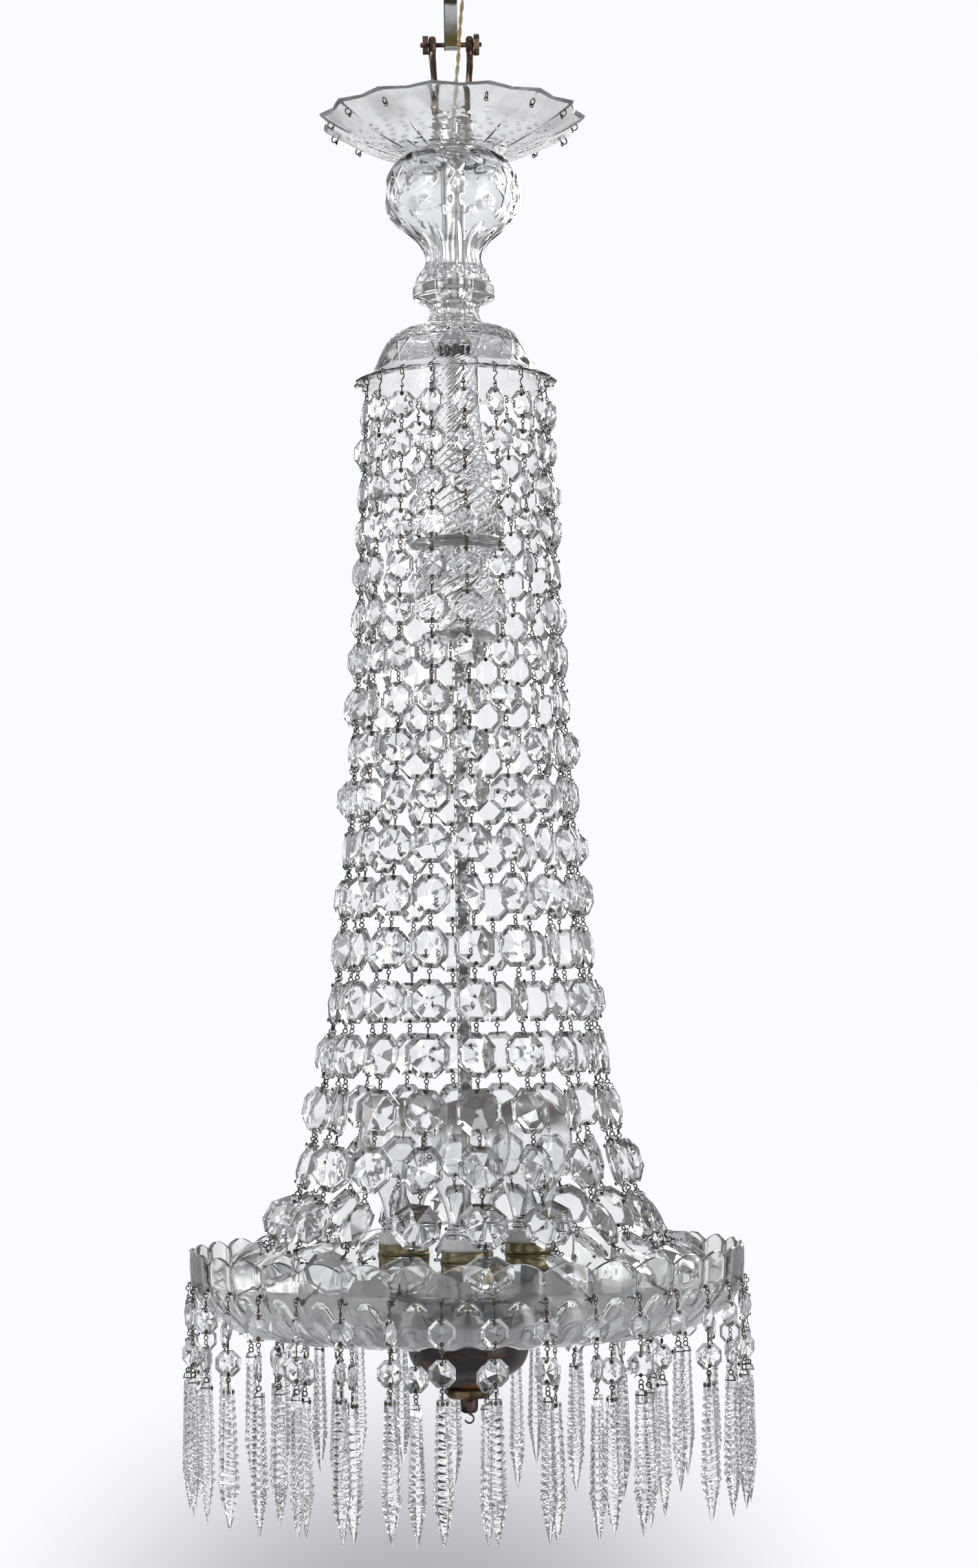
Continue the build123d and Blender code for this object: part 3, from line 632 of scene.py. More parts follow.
# ------------------------------------------------------------------ Geometry Nodes
def stringing_tree():
    """Sets stones and wires on points that say which shape they carry, how it is turned and its size.

    Shapes 0 and 1 of the collection are cut glass and the others are wire.
    """
    tree, nodes, given = new_tree("strung_crystals", {"Shapes": "Collection", "Glass": "Material",
                                                      "Metal": "Material"})
    shapes = nodes.add("GeometryNodeCollectionInfo", {"transform_space": "ORIGINAL"},
                       {"Collection": given.of("Shapes"), "Separate Children": True,
                        "Reset Children": True})
    which = nodes.add("GeometryNodeInputNamedAttribute", {"data_type": "INT"}, {"Name": "shape"})
    turn = nodes.add("GeometryNodeInputNamedAttribute", {"data_type": "QUATERNION"}, {"Name": "turn"})
    size = nodes.add("GeometryNodeInputNamedAttribute", {"data_type": "FLOAT_VECTOR"}, {"Name": "size"})
    is_wire = which > 1.5
    join = nodes.tree.nodes.new("GeometryNodeJoinGeometry")
    for chosen, finish in ((1 - is_wire, "Glass"), (is_wire, "Metal")):
        hung = nodes.add("GeometryNodeInstanceOnPoints", {},
                         {"Points": given.of("Geometry"), "Selection": chosen, "Instance": shapes,
                          "Pick Instance": True, "Instance Index": which, "Rotation": turn,
                          "Scale": size})
        real = nodes.add("GeometryNodeRealizeInstances", {}, {"Geometry": hung})
        done = nodes.add("GeometryNodeSetMaterial", {}, {"Geometry": real, "Material": given.of(finish)})
        tree.links.new(done.socket, join.inputs[0])
    nodes.add("NodeGroupOutput", {}, {0: Value(nodes, join.outputs[0])})
    return tree


def twisting_tree():
    """Presses ribs into a turned glass where it is marked, and winds it so that they climb to the right."""
    tree, nodes, given = new_tree("twisted_ribs", {"Ribs": "Int", "Lead": "Float", "Depth": "Float",
                                                   "Glass": "Material"})
    x = nodes.split(nodes.add("GeometryNodeInputPosition"))
    y, z = x.of("Y"), x.of("Z")
    marked = nodes.add("GeometryNodeInputNamedAttribute", {"data_type": "FLOAT"}, {"Name": "ribbed"})
    angle = nodes.math("ARCTAN2", x, y * -1.0)
    crest = abs(nodes.math("SINE", angle * given.of("Ribs") * 0.5))
    radius = (x * x + y * y) ** 0.5 - (1 - crest) * marked * given.of("Depth")
    wound = angle + z * tau / given.of("Lead")
    moved = nodes.add("ShaderNodeCombineXYZ", {}, {0: radius * nodes.math("SINE", wound),
                                                   1: radius * nodes.math("COSINE", wound) * -1.0, 2: z})
    ribbed = nodes.add("GeometryNodeSetPosition", {}, {"Geometry": given.of("Geometry"), "Position": moved})
    real = nodes.add("GeometryNodeRealizeInstances", {}, {"Geometry": ribbed})
    done = nodes.add("GeometryNodeSetMaterial", {}, {"Geometry": real, "Material": given.of("Glass")})
    nodes.add("NodeGroupOutput", {}, {0: done})
    return tree


# ------------------------------------------------------------------ repeated shapes
def octagon_stone():
    """A cut octagon one unit across: eight facets to a point in front, a table behind, all bevelled."""
    rings = []
    for share, depth in ((0.0, -0.180), (0.80, -0.082), (1.0, -0.030), (1.0, 0.030), (0.70, 0.110),
                         (0.0, 0.110)):
        radius = share / 2 / cos(pi / 8)
        turns = [tau * (corner + 0.5) / 8 for corner in range(8)]
        rings.append([(radius * cos(turn), depth, radius * sin(turn)) for turn in turns])
    return skinned(rings, caps=False)


def notched_prism():
    """A hanging prism of six notched edges under a plain drilled head, with a smooth point."""
    notch = 0.0050
    point = 0.010
    head_depth = prism_head * 0.8
    blunt = 0.92                      # how much it narrows before its last point
    rows = round((prism_length - prism_head - point) / notch * 2)
    levels = [(0.0, True), (prism_head * 0.92, True)]
    levels += [(prism_head + row * notch / 2, False) for row in range(rows + 1)]
    outline = [(-0.5, 0.0), (-0.27, -0.5), (0.27, -0.5), (0.5, 0.0), (0.27, 0.5), (-0.27, 0.5)]
    widest = prism_length * prism_belly
    vertices = []
    faces = []
    for row, (drop, smooth) in enumerate(levels):
        if drop < widest:
            share = drop / widest
            width = prism_head + (prism_width - prism_head) * share
            depth = head_depth + (prism_thickness - head_depth) * share
        else:
            share = 1 - (drop - widest) / (prism_length - widest) * blunt
            width, depth = prism_width * share, prism_thickness * share
        for corner, (u, v) in enumerate(outline):
            nick = 0.97 if smooth else (1.0 if (row + corner) % 2 else 0.84)
            vertices.append((u * width * nick, v * depth * nick, -drop))
        if row:
            for corner in range(6):
                a = (row - 1) * 6 + corner
                b = (row - 1) * 6 + (corner + 1) % 6
                c, d = b + 6, a + 6
                if smooth or (row - 1 + corner) % 2:
                    faces += [(a, b, c), (a, c, d)]
                else:
                    faces += [(a, b, d), (b, c, d)]
    last = len(vertices) - 6
    vertices.append((0.0, 0.0, -prism_length))
    faces += [(last + corner, last + (corner + 1) % 6, len(vertices) - 1) for corner in range(6)]
    faces.append(tuple(range(6)))
    return vertices, faces


def pin_head(centre, out, radius=0.0015, sides=7):
    """A round head on the end of a pin that points along Y, to the side that out says: 1 or -1."""
    x, y, z = centre
    turns = [tau * step / sides for step in range(sides)]
    rings = [[(x + r * cos(turn), y + out * thick, z + r * sin(turn)) for turn in turns]
             for thick, r in ((0.0, radius), (0.0006, radius * 0.9), (0.0010, radius * 0.3))]
    return skinned(rings)


def eyelet(across):
    """The pin and eye at one edge of a stone: +Z points away from it, and the head is at the back."""
    wire = 0.0005
    half = 0.0027
    leg = [(0, half, -drilling), (0, -half - wire, -drilling), (0, -half * 0.8, -0.0002),
           (0, -0.0006, 0.0010)]
    return together(tube(leg, wire, 3), loop((0, 0, 0.0022), 0.00152, wire, across),
                    pin_head((0, half, -drilling), 1))


def bell_hook():
    """A ring through the bell's rim and the bent wire that hangs from it."""
    wire = 0.0005
    bend = [(0.0012, 0, -0.0016), (0.0019, 0.0002, -0.0030), (0.0008, 0.0004, -0.0046),
            (-0.0006, 0.0003, -0.0064), (-0.0003, 0, -0.0080), (0.0010, 0, -0.0092), (0.0009, 0, -0.0104),
            (-0.0006, 0, -0.0107), (-0.0012, 0, -0.0098)]
    return together(loop((0, 0, -0.0004), 0.0017, wire, "x"), loop((0, 0, 0.0026), 0.0016, wire, "y"),
                    tube(bend, wire, 4))


def drop_wire():
    """The wire from a hook to a pendant's first stone: an eye round the hook, a leg and a lower bend."""
    bend = [(0.0, 0, -0.0021), (0.0005, 0, -0.0048), (0.0012, 0, -0.0063), (0.0004, 0, -0.0073),
            (-0.0008, 0, -0.0069)]
    return together(loop((0, 0, -0.00045), 0.0017, thin_wire, "x"), tube(bend, thin_wire, 4))


def tie_wires():
    """Two wires twisted together, with a loop round the bowl's hook at their lower end."""
    wire = 0.00045
    start = 0.0028
    reach = tie_wire - 0.003
    apart = 0.0006
    strands = []
    for phase in (0.0, pi):
        points = []
        for step in range(9):
            turn = phase + step * 1.1
            points.append((apart * cos(turn), apart * sin(turn), -start - (reach - start) * step / 8))
        strands.append(tube(points, wire, 3))
    return together(*strands, loop((0, 0, -0.0020), 0.0013, wire, "x"),
                    loop((0, 0, -reach - 0.0014), 0.0018, wire, "x"))


def bowl_pin():
    """A short pin down through the bowl's wall: a cup head and an eye outside, and bent ends inside."""
    wire = 0.0006
    eye = 0.0016
    through = [(0, -hook_reach, 0.0031), (0, 0, 0.0028), (0, 0.0055, 0), (0.0012, 0.0075, 0.0006)]
    tail = [(0, 0.0050, 0), (-0.0016, 0.0078, 0.0010), (-0.0030, 0.0084, 0.0004)]
    return together(tube(through, wire, 4), tube(tail, wire, 4),
                    pin_head((0, -0.0006, 0.0030), -1, sides=8),
                    loop((0, -hook_reach, eye), eye, thin_wire, "y"))


def under_pin():
    """An eye under the bowl for an inner pendant."""
    eye = 0.0014
    return together(tube([(0, 0, 0.0006), (0, 0, -0.0008)], 0.0005, 4),
                    loop((0, 0, eye - inner_drop), eye, thin_wire, "y"))


def dish_ring():
    """A small ring that hangs through a hole near the dish's edge."""
    return together(loop((0, 0, -0.0016), 0.0024, 0.00055, "x", 10),
                    loop((0, 0.0012, -0.0040), 0.0014, 0.0005, "y"))


shape_makers = [octagon_stone, notched_prism, lambda: eyelet("y"), lambda: eyelet("x"), bell_hook,
                drop_wire, tie_wires, bowl_pin, under_pin, dish_ring]
stone, prism, eye_below, eye_above, hook, drop, tie, pin, underpin, dish_eye = range(len(shape_makers))


def shape_collection():
    """One object for each repeated shape, in a collection that the scene doesn't show."""
    shapes = bpy.data.collections.new("repeated_shapes")
    for index, shape_maker in enumerate(shape_makers):
        mesh = as_mesh(f"shape_{index}", shape_maker(), sharp=0 if index <= prism else 50.0)
        shapes.objects.link(bpy.data.objects.new(f"shape_{index}", mesh))
    return shapes


def strung(name, items, body, stands_for=()):
    """Stones and wires from (shape, matrix, size) items, as one piece."""
    mesh = bpy.data.meshes.new(name)
    mesh.from_pydata([matrix.translation for _, matrix, _ in items], [], [])
    for label, kind, field, values in (
            ("shape", "INT", "value", [which for which, _, _ in items]),
            ("turn", "QUATERNION", "value", [matrix.to_quaternion() for _, matrix, _ in items]),
            ("size", "FLOAT_VECTOR", "vector", [size for _, _, size in items])):
        attribute = mesh.attributes.new(label, kind, "POINT")
        for entry, value in zip(attribute.data, values):
            setattr(entry, field, value)
    grown(name, mesh, string_tree, {"Shapes": shapes, "Glass": crystal, "Metal": wire_metal}, body,
          stands_for)


def stone_items(matrix, across, flipped):
    """A stone with an eyelet at its top and its bottom, whose heads are in front if it is flipped."""
    turn = matrix @ Matrix.Rotation(pi if flipped else 0.0, 4, "Z")
    thick = (1.0, across / 0.026, 1.0)    # the eyelets are drawn for a stone of 26 mm
    upper = turn @ Matrix.Translation((0, 0, across / 2))
    lower = turn @ Matrix.Translation((0, 0, -across / 2)) @ Matrix.Rotation(pi, 4, "Y")
    return [(stone, matrix, (across,) * 3), (eye_above, upper, thick), (eye_below, lower, thick)]


# ------------------------------------------------------------------ hanger, bolt and shackle
def dress_hanger():
    """Finishes for the two nodes that are shown as they are."""
    for node, finish in (("hanger_strap", strap_metal), ("flex_connector", connector_plastic)):
        for material_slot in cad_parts[node].material_slots:
            material_slot.material = finish


def turned_along_x(profile, sides, shape=None, closed=False, roll=0.0):
    """A turned form with its axis along X through the bolt, from (radius, x) points."""
    lying = Matrix.Translation((0, 0, bolt_height)) @ Matrix.Rotation(pi / 2, 4, "Y")
    return placed(turned(profile, sides, shape=shape, closed=closed), lying @ Matrix.Rotation(roll, 4, "Z"))


def make_bolt():
    """A plain shank, threaded and bevelled at both ends."""
    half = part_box("hanger_bolt")[1].x
    radius = 0.0018
    thread = 0.0007
    bevel = 0.0005
    line = [(radius * 0.7, -half), (radius, -half + bevel)]
    for start in (-half + bevel, half - bevel - 10 * thread):
        for turn in range(10):
            line += [(radius, start + turn * thread), (radius * 0.86, start + (turn + 0.5) * thread)]
    line += [(radius, half - bevel), (radius * 0.7, half)]
    make("bolt_shank", turned_along_x(line, 16), brown_steel, ("hanger_bolt",))


def hexagon(angle, radius, height):
    """A turned point cut back to the flats of a hexagon nut."""
    flats = nut_across / 2 / cos(beside(angle, 6))
    return min(radius, flats), height


def make_nuts():
    """A hexagon nut on each end of the bolt, each at its own turn."""
    inner, outer = 0.0161, 0.0201
    bore = 0.00185
    bevel = 0.0005
    corner = nut_across / 2 / cos(pi / 6)
    nuts = []
    for side in (-1, 1):
        line = [(bore, inner), (corner * 0.90, inner), (corner, inner + bevel), (corner, outer - bevel),
                (corner * 0.90, outer), (bore, outer)]
        line = [(radius, side * out) for radius, out in line]
        nuts.append(turned_along_x(line, 48, hexagon, True, radians(12 * side)))
    make("bolt_nuts", together(*nuts), brown_steel, ("hanger_nuts",))


def make_shackle():
    """Two forged legs, each flattened into an eye round the bolt."""
    crown = [(0.0021, 0.0022), (0.0036, 0.0027), (0.0048, 0.0025), (0.0056, 0.0019), (0.0061, 0.0011),
             (0.00625, 0.0)]
    eye_place = 0.0132
    leg_top = bolt_height - 0.0045
    inwards = 0.0018                  # how far a leg leans in on its way to the boss
    parts = []
    for side in (-1, 1):
        middle = eye_place * side
        line = [(radius, middle - half) for radius, half in crown]
        line += [(radius, middle + half) for radius, half in reversed(crown[:-1])]
        parts.append(turned_along_x(line, 28, closed=True))
        points = []
        radii = []
        for step in range(13):
            fall = step / 12
            wander = 0.0004 * sin(5 * fall + side)
            height = leg_top - (leg_top - boss_top) * fall
            points.append((middle - side * inwards * fall + wander, 0, height))
            radii.append(0.0027 - 0.0008 * fall ** 0.6)
        parts.append(tube(points, radii, 14))
    make("forged_shackle", together(*parts), bronze, ("shackle",), sharp=45)


# ------------------------------------------------------------------ flex
flex_route = [
    (0.0004, -0.0010, -0.0970),
    (0.0024, -0.0036, -0.0760),
    (0.0050, -0.0060, -0.0560),
    (0.0060, -0.0066, -0.0380),
    (0.0076, -0.0070, -0.0200),
    (0.00955, -0.0075, -0.0040),
]


def route_line(route, steps=16):
    """Points along the smooth line that a route's points control."""
    curve = bpy.data.curves.new("route", "CURVE")
    curve.dimensions = "3D"
    curve.resolution_u = steps
    spline = curve.splines.new("NURBS")
    spline.points.add(len(route) - 1)
    for point, place in zip(spline.points, route):
        point.co = (*place, 1.0)
    spline.order_u = 3
    spline.use_endpoint_u = True
    holder = added("route", curve)
    line = bpy.data.meshes.new_from_object(holder.evaluated_get(bpy.context.evaluated_depsgraph_get()))
    points = [vertex.co.copy() for vertex in line.vertices]
    bpy.data.objects.remove(holder)
    bpy.data.meshes.remove(line)
    return points


def make_flex():
    """Two cores laid up in a right-hand twist from the boss to the connector."""
    line = route_line(flex_route)
    pitch = 0.018
    core = 0.00074
    strands = []
    for phase in (0.0, pi):
        travelled = 0.0
        points = []
        for index, point in enumerate(line):
            ahead = (line[min(index + 1, len(line) - 1)] - line[max(index - 1, 0)]).normalized()
            side = Vector((1, 0, 0)) - ahead * ahead.x
            side.normalize()
            front = ahead.cross(side)
            turn = phase + tau * travelled / pitch
            points.append(point + (side * cos(turn) + front * sin(turn)) * core)
            if index < len(line) - 1:
                travelled += (line[index + 1] - point).length
        strands.append(tube(points, core, 8))
    mesh = as_mesh("twisted_flex", together(*strands), 60.0)
    mesh.materials.append(flex_cloth)
    piece = added("twisted_flex", mesh)
    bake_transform(piece)
    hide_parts("flex")


# ------------------------------------------------------------------ stem
def make_stem():
    """The boss that clamps the dish, the polished pipe, the bush in the bell and the rod with its collar."""
    boss = dropped(boss_top, [(0, 0.0032), (0, 0.0118), (0.0012, 0.0140), (0.0030, 0.0145), (0.0075, 0.0145),
                              (0.0083, 0.0138), (0.0092, 0.0145), (0.0165, 0.0145), (0.0176, 0.0163),
                              (0.0219, 0.0170), (0.0219, 0.0089), (0.0100, 0.0089), (0.0100, 0.0032)])
    make("turned_boss", turned(boss, 48), nickel, ("stem_boss",))
    high, low = top("stem_tube"), bottom("stem_tube")
    pipe = [(0.0085, high)]
    pipe += dropped(baluster_bottom + 0.052, [(-0.0006, 0.0085), (0, 0.0079), (0.0200, 0.0079),
                                              (0.0206, 0.0085)])
    pipe += [(0.0085, low), (0.0068, low), (0.0068, high)]
    make("stem_pipe", turned(pipe, 40), polished, ("stem_tube",))
    bush = dropped(top("bell_bush"), [(0, stem_bore), (0, 0.0125), (0.0008, 0.0130), (0.0050, 0.0120),
                                      (0.0060, 0.0110), (0.0060, rod_bore), (0.0010, rod_bore),
                                      (0.0010, 0.0089)])
    make("turned_bush", turned(bush, 36), nickel, ("bell_bush",))
    rod = dropped(top("tie_rod"), [(0, 0.0026), (0.0005, 0.0030)])
    rod += dropped(rope_bottom, [(0, 0.0030), (0, 0.0046), (0.0005, 0.0048), (0.0020, 0.0048),
                                 (0.0025, 0.0044), (0.0025, 0.0030)])
    rod.append((0.0030, bottom("tie_rod")))
    make("long_rod", turned(rod, 20, closed=False), worn_steel, ("tie_rod",))


# ------------------------------------------------------------------ crown dish
def dish_edge(angle, radius, height):
    """Fifteen bracket points, deepest at the edge."""
    start, reach = 0.050, 0.045
    bite, sag = 0.056, 0.0009
    off = aside(angle, dish_points, dish_first_point)
    share = max(0.0, (radius - start) / reach) ** 1.6
    return radius * (1 - bite * off ** 0.75 * share), height - sag * off * share


# What pressed() cuts: nine rows of short strokes, each (count, first angle), and two sets of long spokes.
dish_rows = [(15, 9), (19, 0), (21, 5), (26, 2), (27, 7), (31, 3), (33, 1), (29, 8), (23, 4)]
dish_cuts = [(12, 3, 52, 0.7, 19, 0.0, 0.55), (12, 18, 43, 0.6, 9, 0.0, 0.45)]
dish_cuts += [(count, first, 38 + 4.6 * row, 4.0, 1.2, 0.0, 0.32)
              for row, (count, first) in enumerate(dish_rows)]


def make_dish():
    """The cut dish, and the little rings in the holes near its points."""
    line = dropped(dish_rim, [(0, 0.0950), (0.0030, 0.0925), (0.0088, 0.0826), (0.0148, 0.0705),
                              (0.0200, 0.0590), (0.0248, 0.0460)])
    outer = smooth_line(line + [(0.0340, dish_bottom)], 14)
    outer += [(0.0200, dish_bottom), (stem_bore, dish_bottom)]
    floor = dish_bottom + 0.004
    line = dropped(dish_rim, [(0.0212, 0.0440), (0.0166, 0.0570), (0.0116, 0.0690), (0.0062, 0.0800),
                              (0, 0.0915)])
    inner = [(stem_bore, floor), (0.0200, floor)] + smooth_line([(0.0310, floor)] + line, 5)
    cut = pressed(dish_cuts, lambda radius, height: radius)
    make("cut_dish", vessel(outer, inner, 480, cut, dish_edge), dusty_crystal, ("crown_dish",),
         sharp=50)
    hole_radius, hole_height = 0.0865, dish_rim - 0.0062
    rings = []
    for point in range(dish_points):
        angle = dish_first_point + tau * point / dish_points
        if point != bare_point:
            rings.append((dish_eye, around(angle, hole_radius, hole_height), plain))
    strung("dish_rings", rings, "chandelier")


# ------------------------------------------------------------------ baluster
# What pressed() cuts: the body's ovals and its crossed and upright leaves, then the waist's and the foot's.
baluster_cuts = [
    (6, 33, 25.5, 13.0, 9.0, 0.0, 1.8),
    (6, 3, 22.5, 2.6, 12.0, 0.62, 1.3),
    (6, 3, 22.5, 2.6, 12.0, -0.62, 1.3),
    (6, 3, 27.0, 1.8, 8.0, 0.0, 1.0),
    (12, 18, 8.6, 3.8, 9.5, 0.75, 1.1),
    (12, 3, 41.5, 5.6, 4.0, 0.0, 1.0),
    (12, 18, 47.5, 3.6, 3.0, 0.0, 0.8),
    (12, 3, 69.5, 4.6, 18.0, 0.0, 1.7),
    (12, 18, 86.3, 5.4, 3.6, 0.0, 1.3),
]


def make_baluster():
    """The hollow vase of cut glass between dish and bell."""
    head = dish_bottom - seam
    mouth = 0.0240
    outer = [(mouth, head)]
    outer += dropped(head, [(0, 0.0340), (0.0036, 0.0395), (0.0092, 0.0440), (0.0165, 0.0476),
                            (0.0250, 0.0489), (0.0335, 0.0484), (0.0434, 0.0445), (0.0527, 0.0345),
                            (0.0610, 0.0252), (0.0711, 0.0204), (0.0795, 0.0216), (0.0850, 0.0258),
                            (0.0890, 0.0272)], 10)
    outer += dropped(head, [(0.0905, 0.0278), (0.0922, 0.0280)])
    inner = dropped(head, [(0.0922, 0.0150), (0.0860, 0.0165), (0.0711, 0.0150), (0.0620, 0.0195),
                           (0.0530, 0.0290), (0.0434, 0.0400), (0.0335, 0.0443), (0.0250, 0.0450),
                           (0.0165, 0.0438), (0.0092, 0.0402), (0.0040, 0.0345)], 4)
    inner += dropped(head, [(0.0036, mouth)])
    cut = pressed(baluster_cuts, lambda radius, height: dish_bottom - height)
    make("cut_baluster", vessel(outer, inner, 432, cut), crystal, ("baluster",), sharp=50)


# ------------------------------------------------------------------ bell canopy
def bell_edge(angle, radius, height):
    """Eighteen scallops round the flared rim."""
    start, reach = 0.060, 0.0117
    bite, lift = 0.0034, 0.0016
    off = aside(angle, string_count, string_first) ** 2.2
    share = max(0.0, (radius - start) / reach) ** 1.5
    return radius - bite * off * share, height + lift * off * share


bell_shoulder_cuts = pressed([(12, 0, 40.0, 2.4, 9.0, 0.72, 1.0), (12, 0, 40.0, 2.4, 9.0, -0.72, 1.0),
                              (12, 15, 36.0, 2.8, 5.0, 0.0, 0.8), (18, 5, 62.0, 1.1, 1.1, 0.0, 0.9)],
                             lambda radius, height: radius)
bell_neck_cuts = pressed([(8, 22, 18.5, 5.6, 9.0, 0.0, 1.5)],
                         lambda radius, height: baluster_bottom - height)


def bell_cut(angle, radius, height):
    """Flutes on the neck, and crossed lines below a zigzag on the dome."""
    neck = 0.029
    zigzag_from, zigzag_to = 0.044, 0.058
    lean, half, depth = 22, 0.0010, 0.0006
    if baluster_bottom - height < neck:
        return bell_neck_cuts(angle, radius, height)
    deep = bell_shoulder_cuts(angle, radius, height)
    if zigzag_from < radius < zigzag_to:
        for way in (-1, 1):
            off = abs(beside(angle + way * (radius - zigzag_from) * lean, 12)) * radius
            deep = max(deep, depth * (1 - off / half))
    return deep


def make_bell():
    """The cut bell whose scalloped rim carries the strings."""
    head = baluster_bottom
    outer = dropped(head, [(0, 0.0275), (0.0005, 0.0286), (0.0016, 0.0293), (0.0040, 0.0294),
                           (0.0070, 0.0294), (0.0088, 0.0290), (0.0100, 0.0276)])
    outer += dropped(head, [(0.0110, 0.0250), (0.0145, 0.0190), (0.0190, 0.0173), (0.0232, 0.0182),
                            (0.0272, 0.0214), (0.0308, 0.0290), (0.0335, 0.0385), (0.0384, 0.0456),
                            (0.0440, 0.0500), (0.0507, 0.0532), (0.0575, 0.0562), (0.0640, 0.0596),
                            (0.0685, 0.0655), (0.0700, 0.0717)], 8)
    outer += dropped(head, [(0.0712, 0.0708)])
    inner = dropped(head, [(0.0712, 0.0640), (0.0660, 0.0574), (0.0575, 0.0520), (0.0507, 0.0490),
                           (0.0440, 0.0450), (0.0400, 0.0368)], 5)
    inner += dropped(head, [(0.0400, 0.0200), (0.0400, stem_bore), (0, stem_bore)])
    make("cut_bell", vessel(outer, inner, 432, bell_cut, bell_edge), crystal, ("bell_canopy",),
         sharp=50)


# ------------------------------------------------------------------ twisted glass
def twisted(name, outer, sides, ribs, lead, depth, smooth_ends, stands_for):
    """A ribbed and wound glass round the rod; its ends stay round over the given length."""
    high, low = outer[0][1], outer[-1][1]
    inner = [(rod_bore, low + (high - low) * step / 40) for step in range(41)]
    mesh = as_mesh(name, turned(outer + inner, sides), 60.0)
    ribbed = mesh.attributes.new("ribbed", "FLOAT", "POINT")
    for index, vertex in enumerate(mesh.vertices):
        from_end = min(high - vertex.co.z, vertex.co.z - low) / smooth_ends
        outside = hypot(vertex.co.x, vertex.co.y) > rod_bore + 0.0001
        ribbed.data[index].value = clamped(from_end) if outside else 0.0
    grown(name, mesh, twist_tree, {"Ribs": ribs, "Lead": lead, "Depth": depth, "Glass": crystal},
          "chandelier", stands_for)


def make_twisted_glass():
    """The pear, the vase below it and the rope-twist tube."""
    outer = dropped(pear_top, [(0, 0.0155), (0.0250, 0.0164), (0.0450, 0.0172), (0.0657, 0.0194),
                               (0.0831, 0.0238), (0.0992, 0.0278), (0.1126, 0.0293), (0.1246, 0.0283),
                               (0.1310, 0.0262), (0.1340, 0.0243)], 9)
    twisted("wound_pear", outer, 240, ribs=18, lead=0.123, depth=0.0026, smooth_ends=0.004,
            stands_for=("twist_pear",))

    outer = dropped(vase_top, [(0, 0.0250), (0.0050, 0.0228), (0.0104, 0.0221), (0.0170, 0.0246),
                               (0.0242, 0.0286), (0.0330, 0.0318), (0.0400, 0.0318), (0.0470, 0.0292),
                               (0.0530, 0.0235), (0.0576, 0.0182)], 8)
    twisted("wound_vase", outer, 240, ribs=16, lead=0.150, depth=0.0028, smooth_ends=0.004,
            stands_for=("twist_vase",))

    rows = 120
    outer = [(0.0052, rope_top - (rope_top - rope_bottom) * row / rows) for row in range(rows + 1)]
    twisted("wound_rope", outer, 60, ribs=6, lead=0.036, depth=0.0012, smooth_ends=0.003,
            stands_for=("rope_tube",))


def lobed(count, depth):
    """An edge with shallow lobes, which fade out towards the middle."""
    start, reach = 0.020, 0.008

    def edge(angle, radius, height):
        return radius - depth * aside(angle, count) ** 2 * clamped((radius - start) / reach), height
    return edge


def make_glass_rings():
    """The lobed plate between pear and vase, and the ring at the vase's foot."""
    high, low = pear_bottom - seam, vase_top + seam
    plate = dropped(high, [(0, rod_bore), (0, 0.0255), (0.0010, 0.0310), (0.0030, 0.0335),
                           (0.0045, 0.0338), (0.0068, 0.0325)])
    plate += [(0.0290, low), (rod_bore, low)]
    make("glass_flange", turned(plate, 144, shape=lobed(12, 0.0022)), pressed_crystal,
         ("glass_plate",), sharp=20)
    high, low = vase_bottom - seam, rope_top + seam
    ring = dropped(high, [(0, rod_bore), (0, 0.0215), (0.0014, 0.0255), (0.0028, 0.0265),
                          (0.0045, 0.0252)])
    ring += [(0.0230, low), (rod_bore, low)]
    make("foot_ring", turned(ring, 144, shape=lobed(12, 0.0012)), pressed_crystal,
         ("vase_foot_ring",), sharp=20)


# ------------------------------------------------------------------ tent of strings
string_top = bell_rim - string_drop
string_foot_radius = hook_wall_radius - bowl_wall - 0.0006


def string_point(fall):
    """Radius and height of a string, from 0 at its bell hook to 1 at the bowl."""
    run = outward_drift * fall + outward_belly * fall ** 4
    run += (1 - outward_drift - outward_belly) * fall ** 24
    return (string_hook_radius + (string_foot_radius - string_hook_radius) * run,
            string_top + (hook_height - string_top) * fall)


def string_marks(steps=3000):
    """The string as (length so far, radius, height, lean off plumb)."""
    marks = []
    travelled = 0.0
    before = string_point(0)
    for step in range(1, steps + 1):
        now = string_point(step / steps)
        travelled += hypot(now[0] - before[0], now[1] - before[1])
        marks.append((travelled, now[0], now[1], atan2(now[0] - before[0], before[1] - now[1])))
        before = now
    return marks


def hung(angle, radius, height, lean):
    """A place on a string, with -Z down the string and -Y outwards."""
    return around(angle, radius, height) @ Matrix.Rotation(-lean, 4, "X")


def stone_yaw(row, string):
    """How far a stone of the tent is turned about its string."""
    return radians(14 + 24 * sin(2.4 * row + 1.7 * string) + 14 * sin(5.1 * string + 0.7 * row))


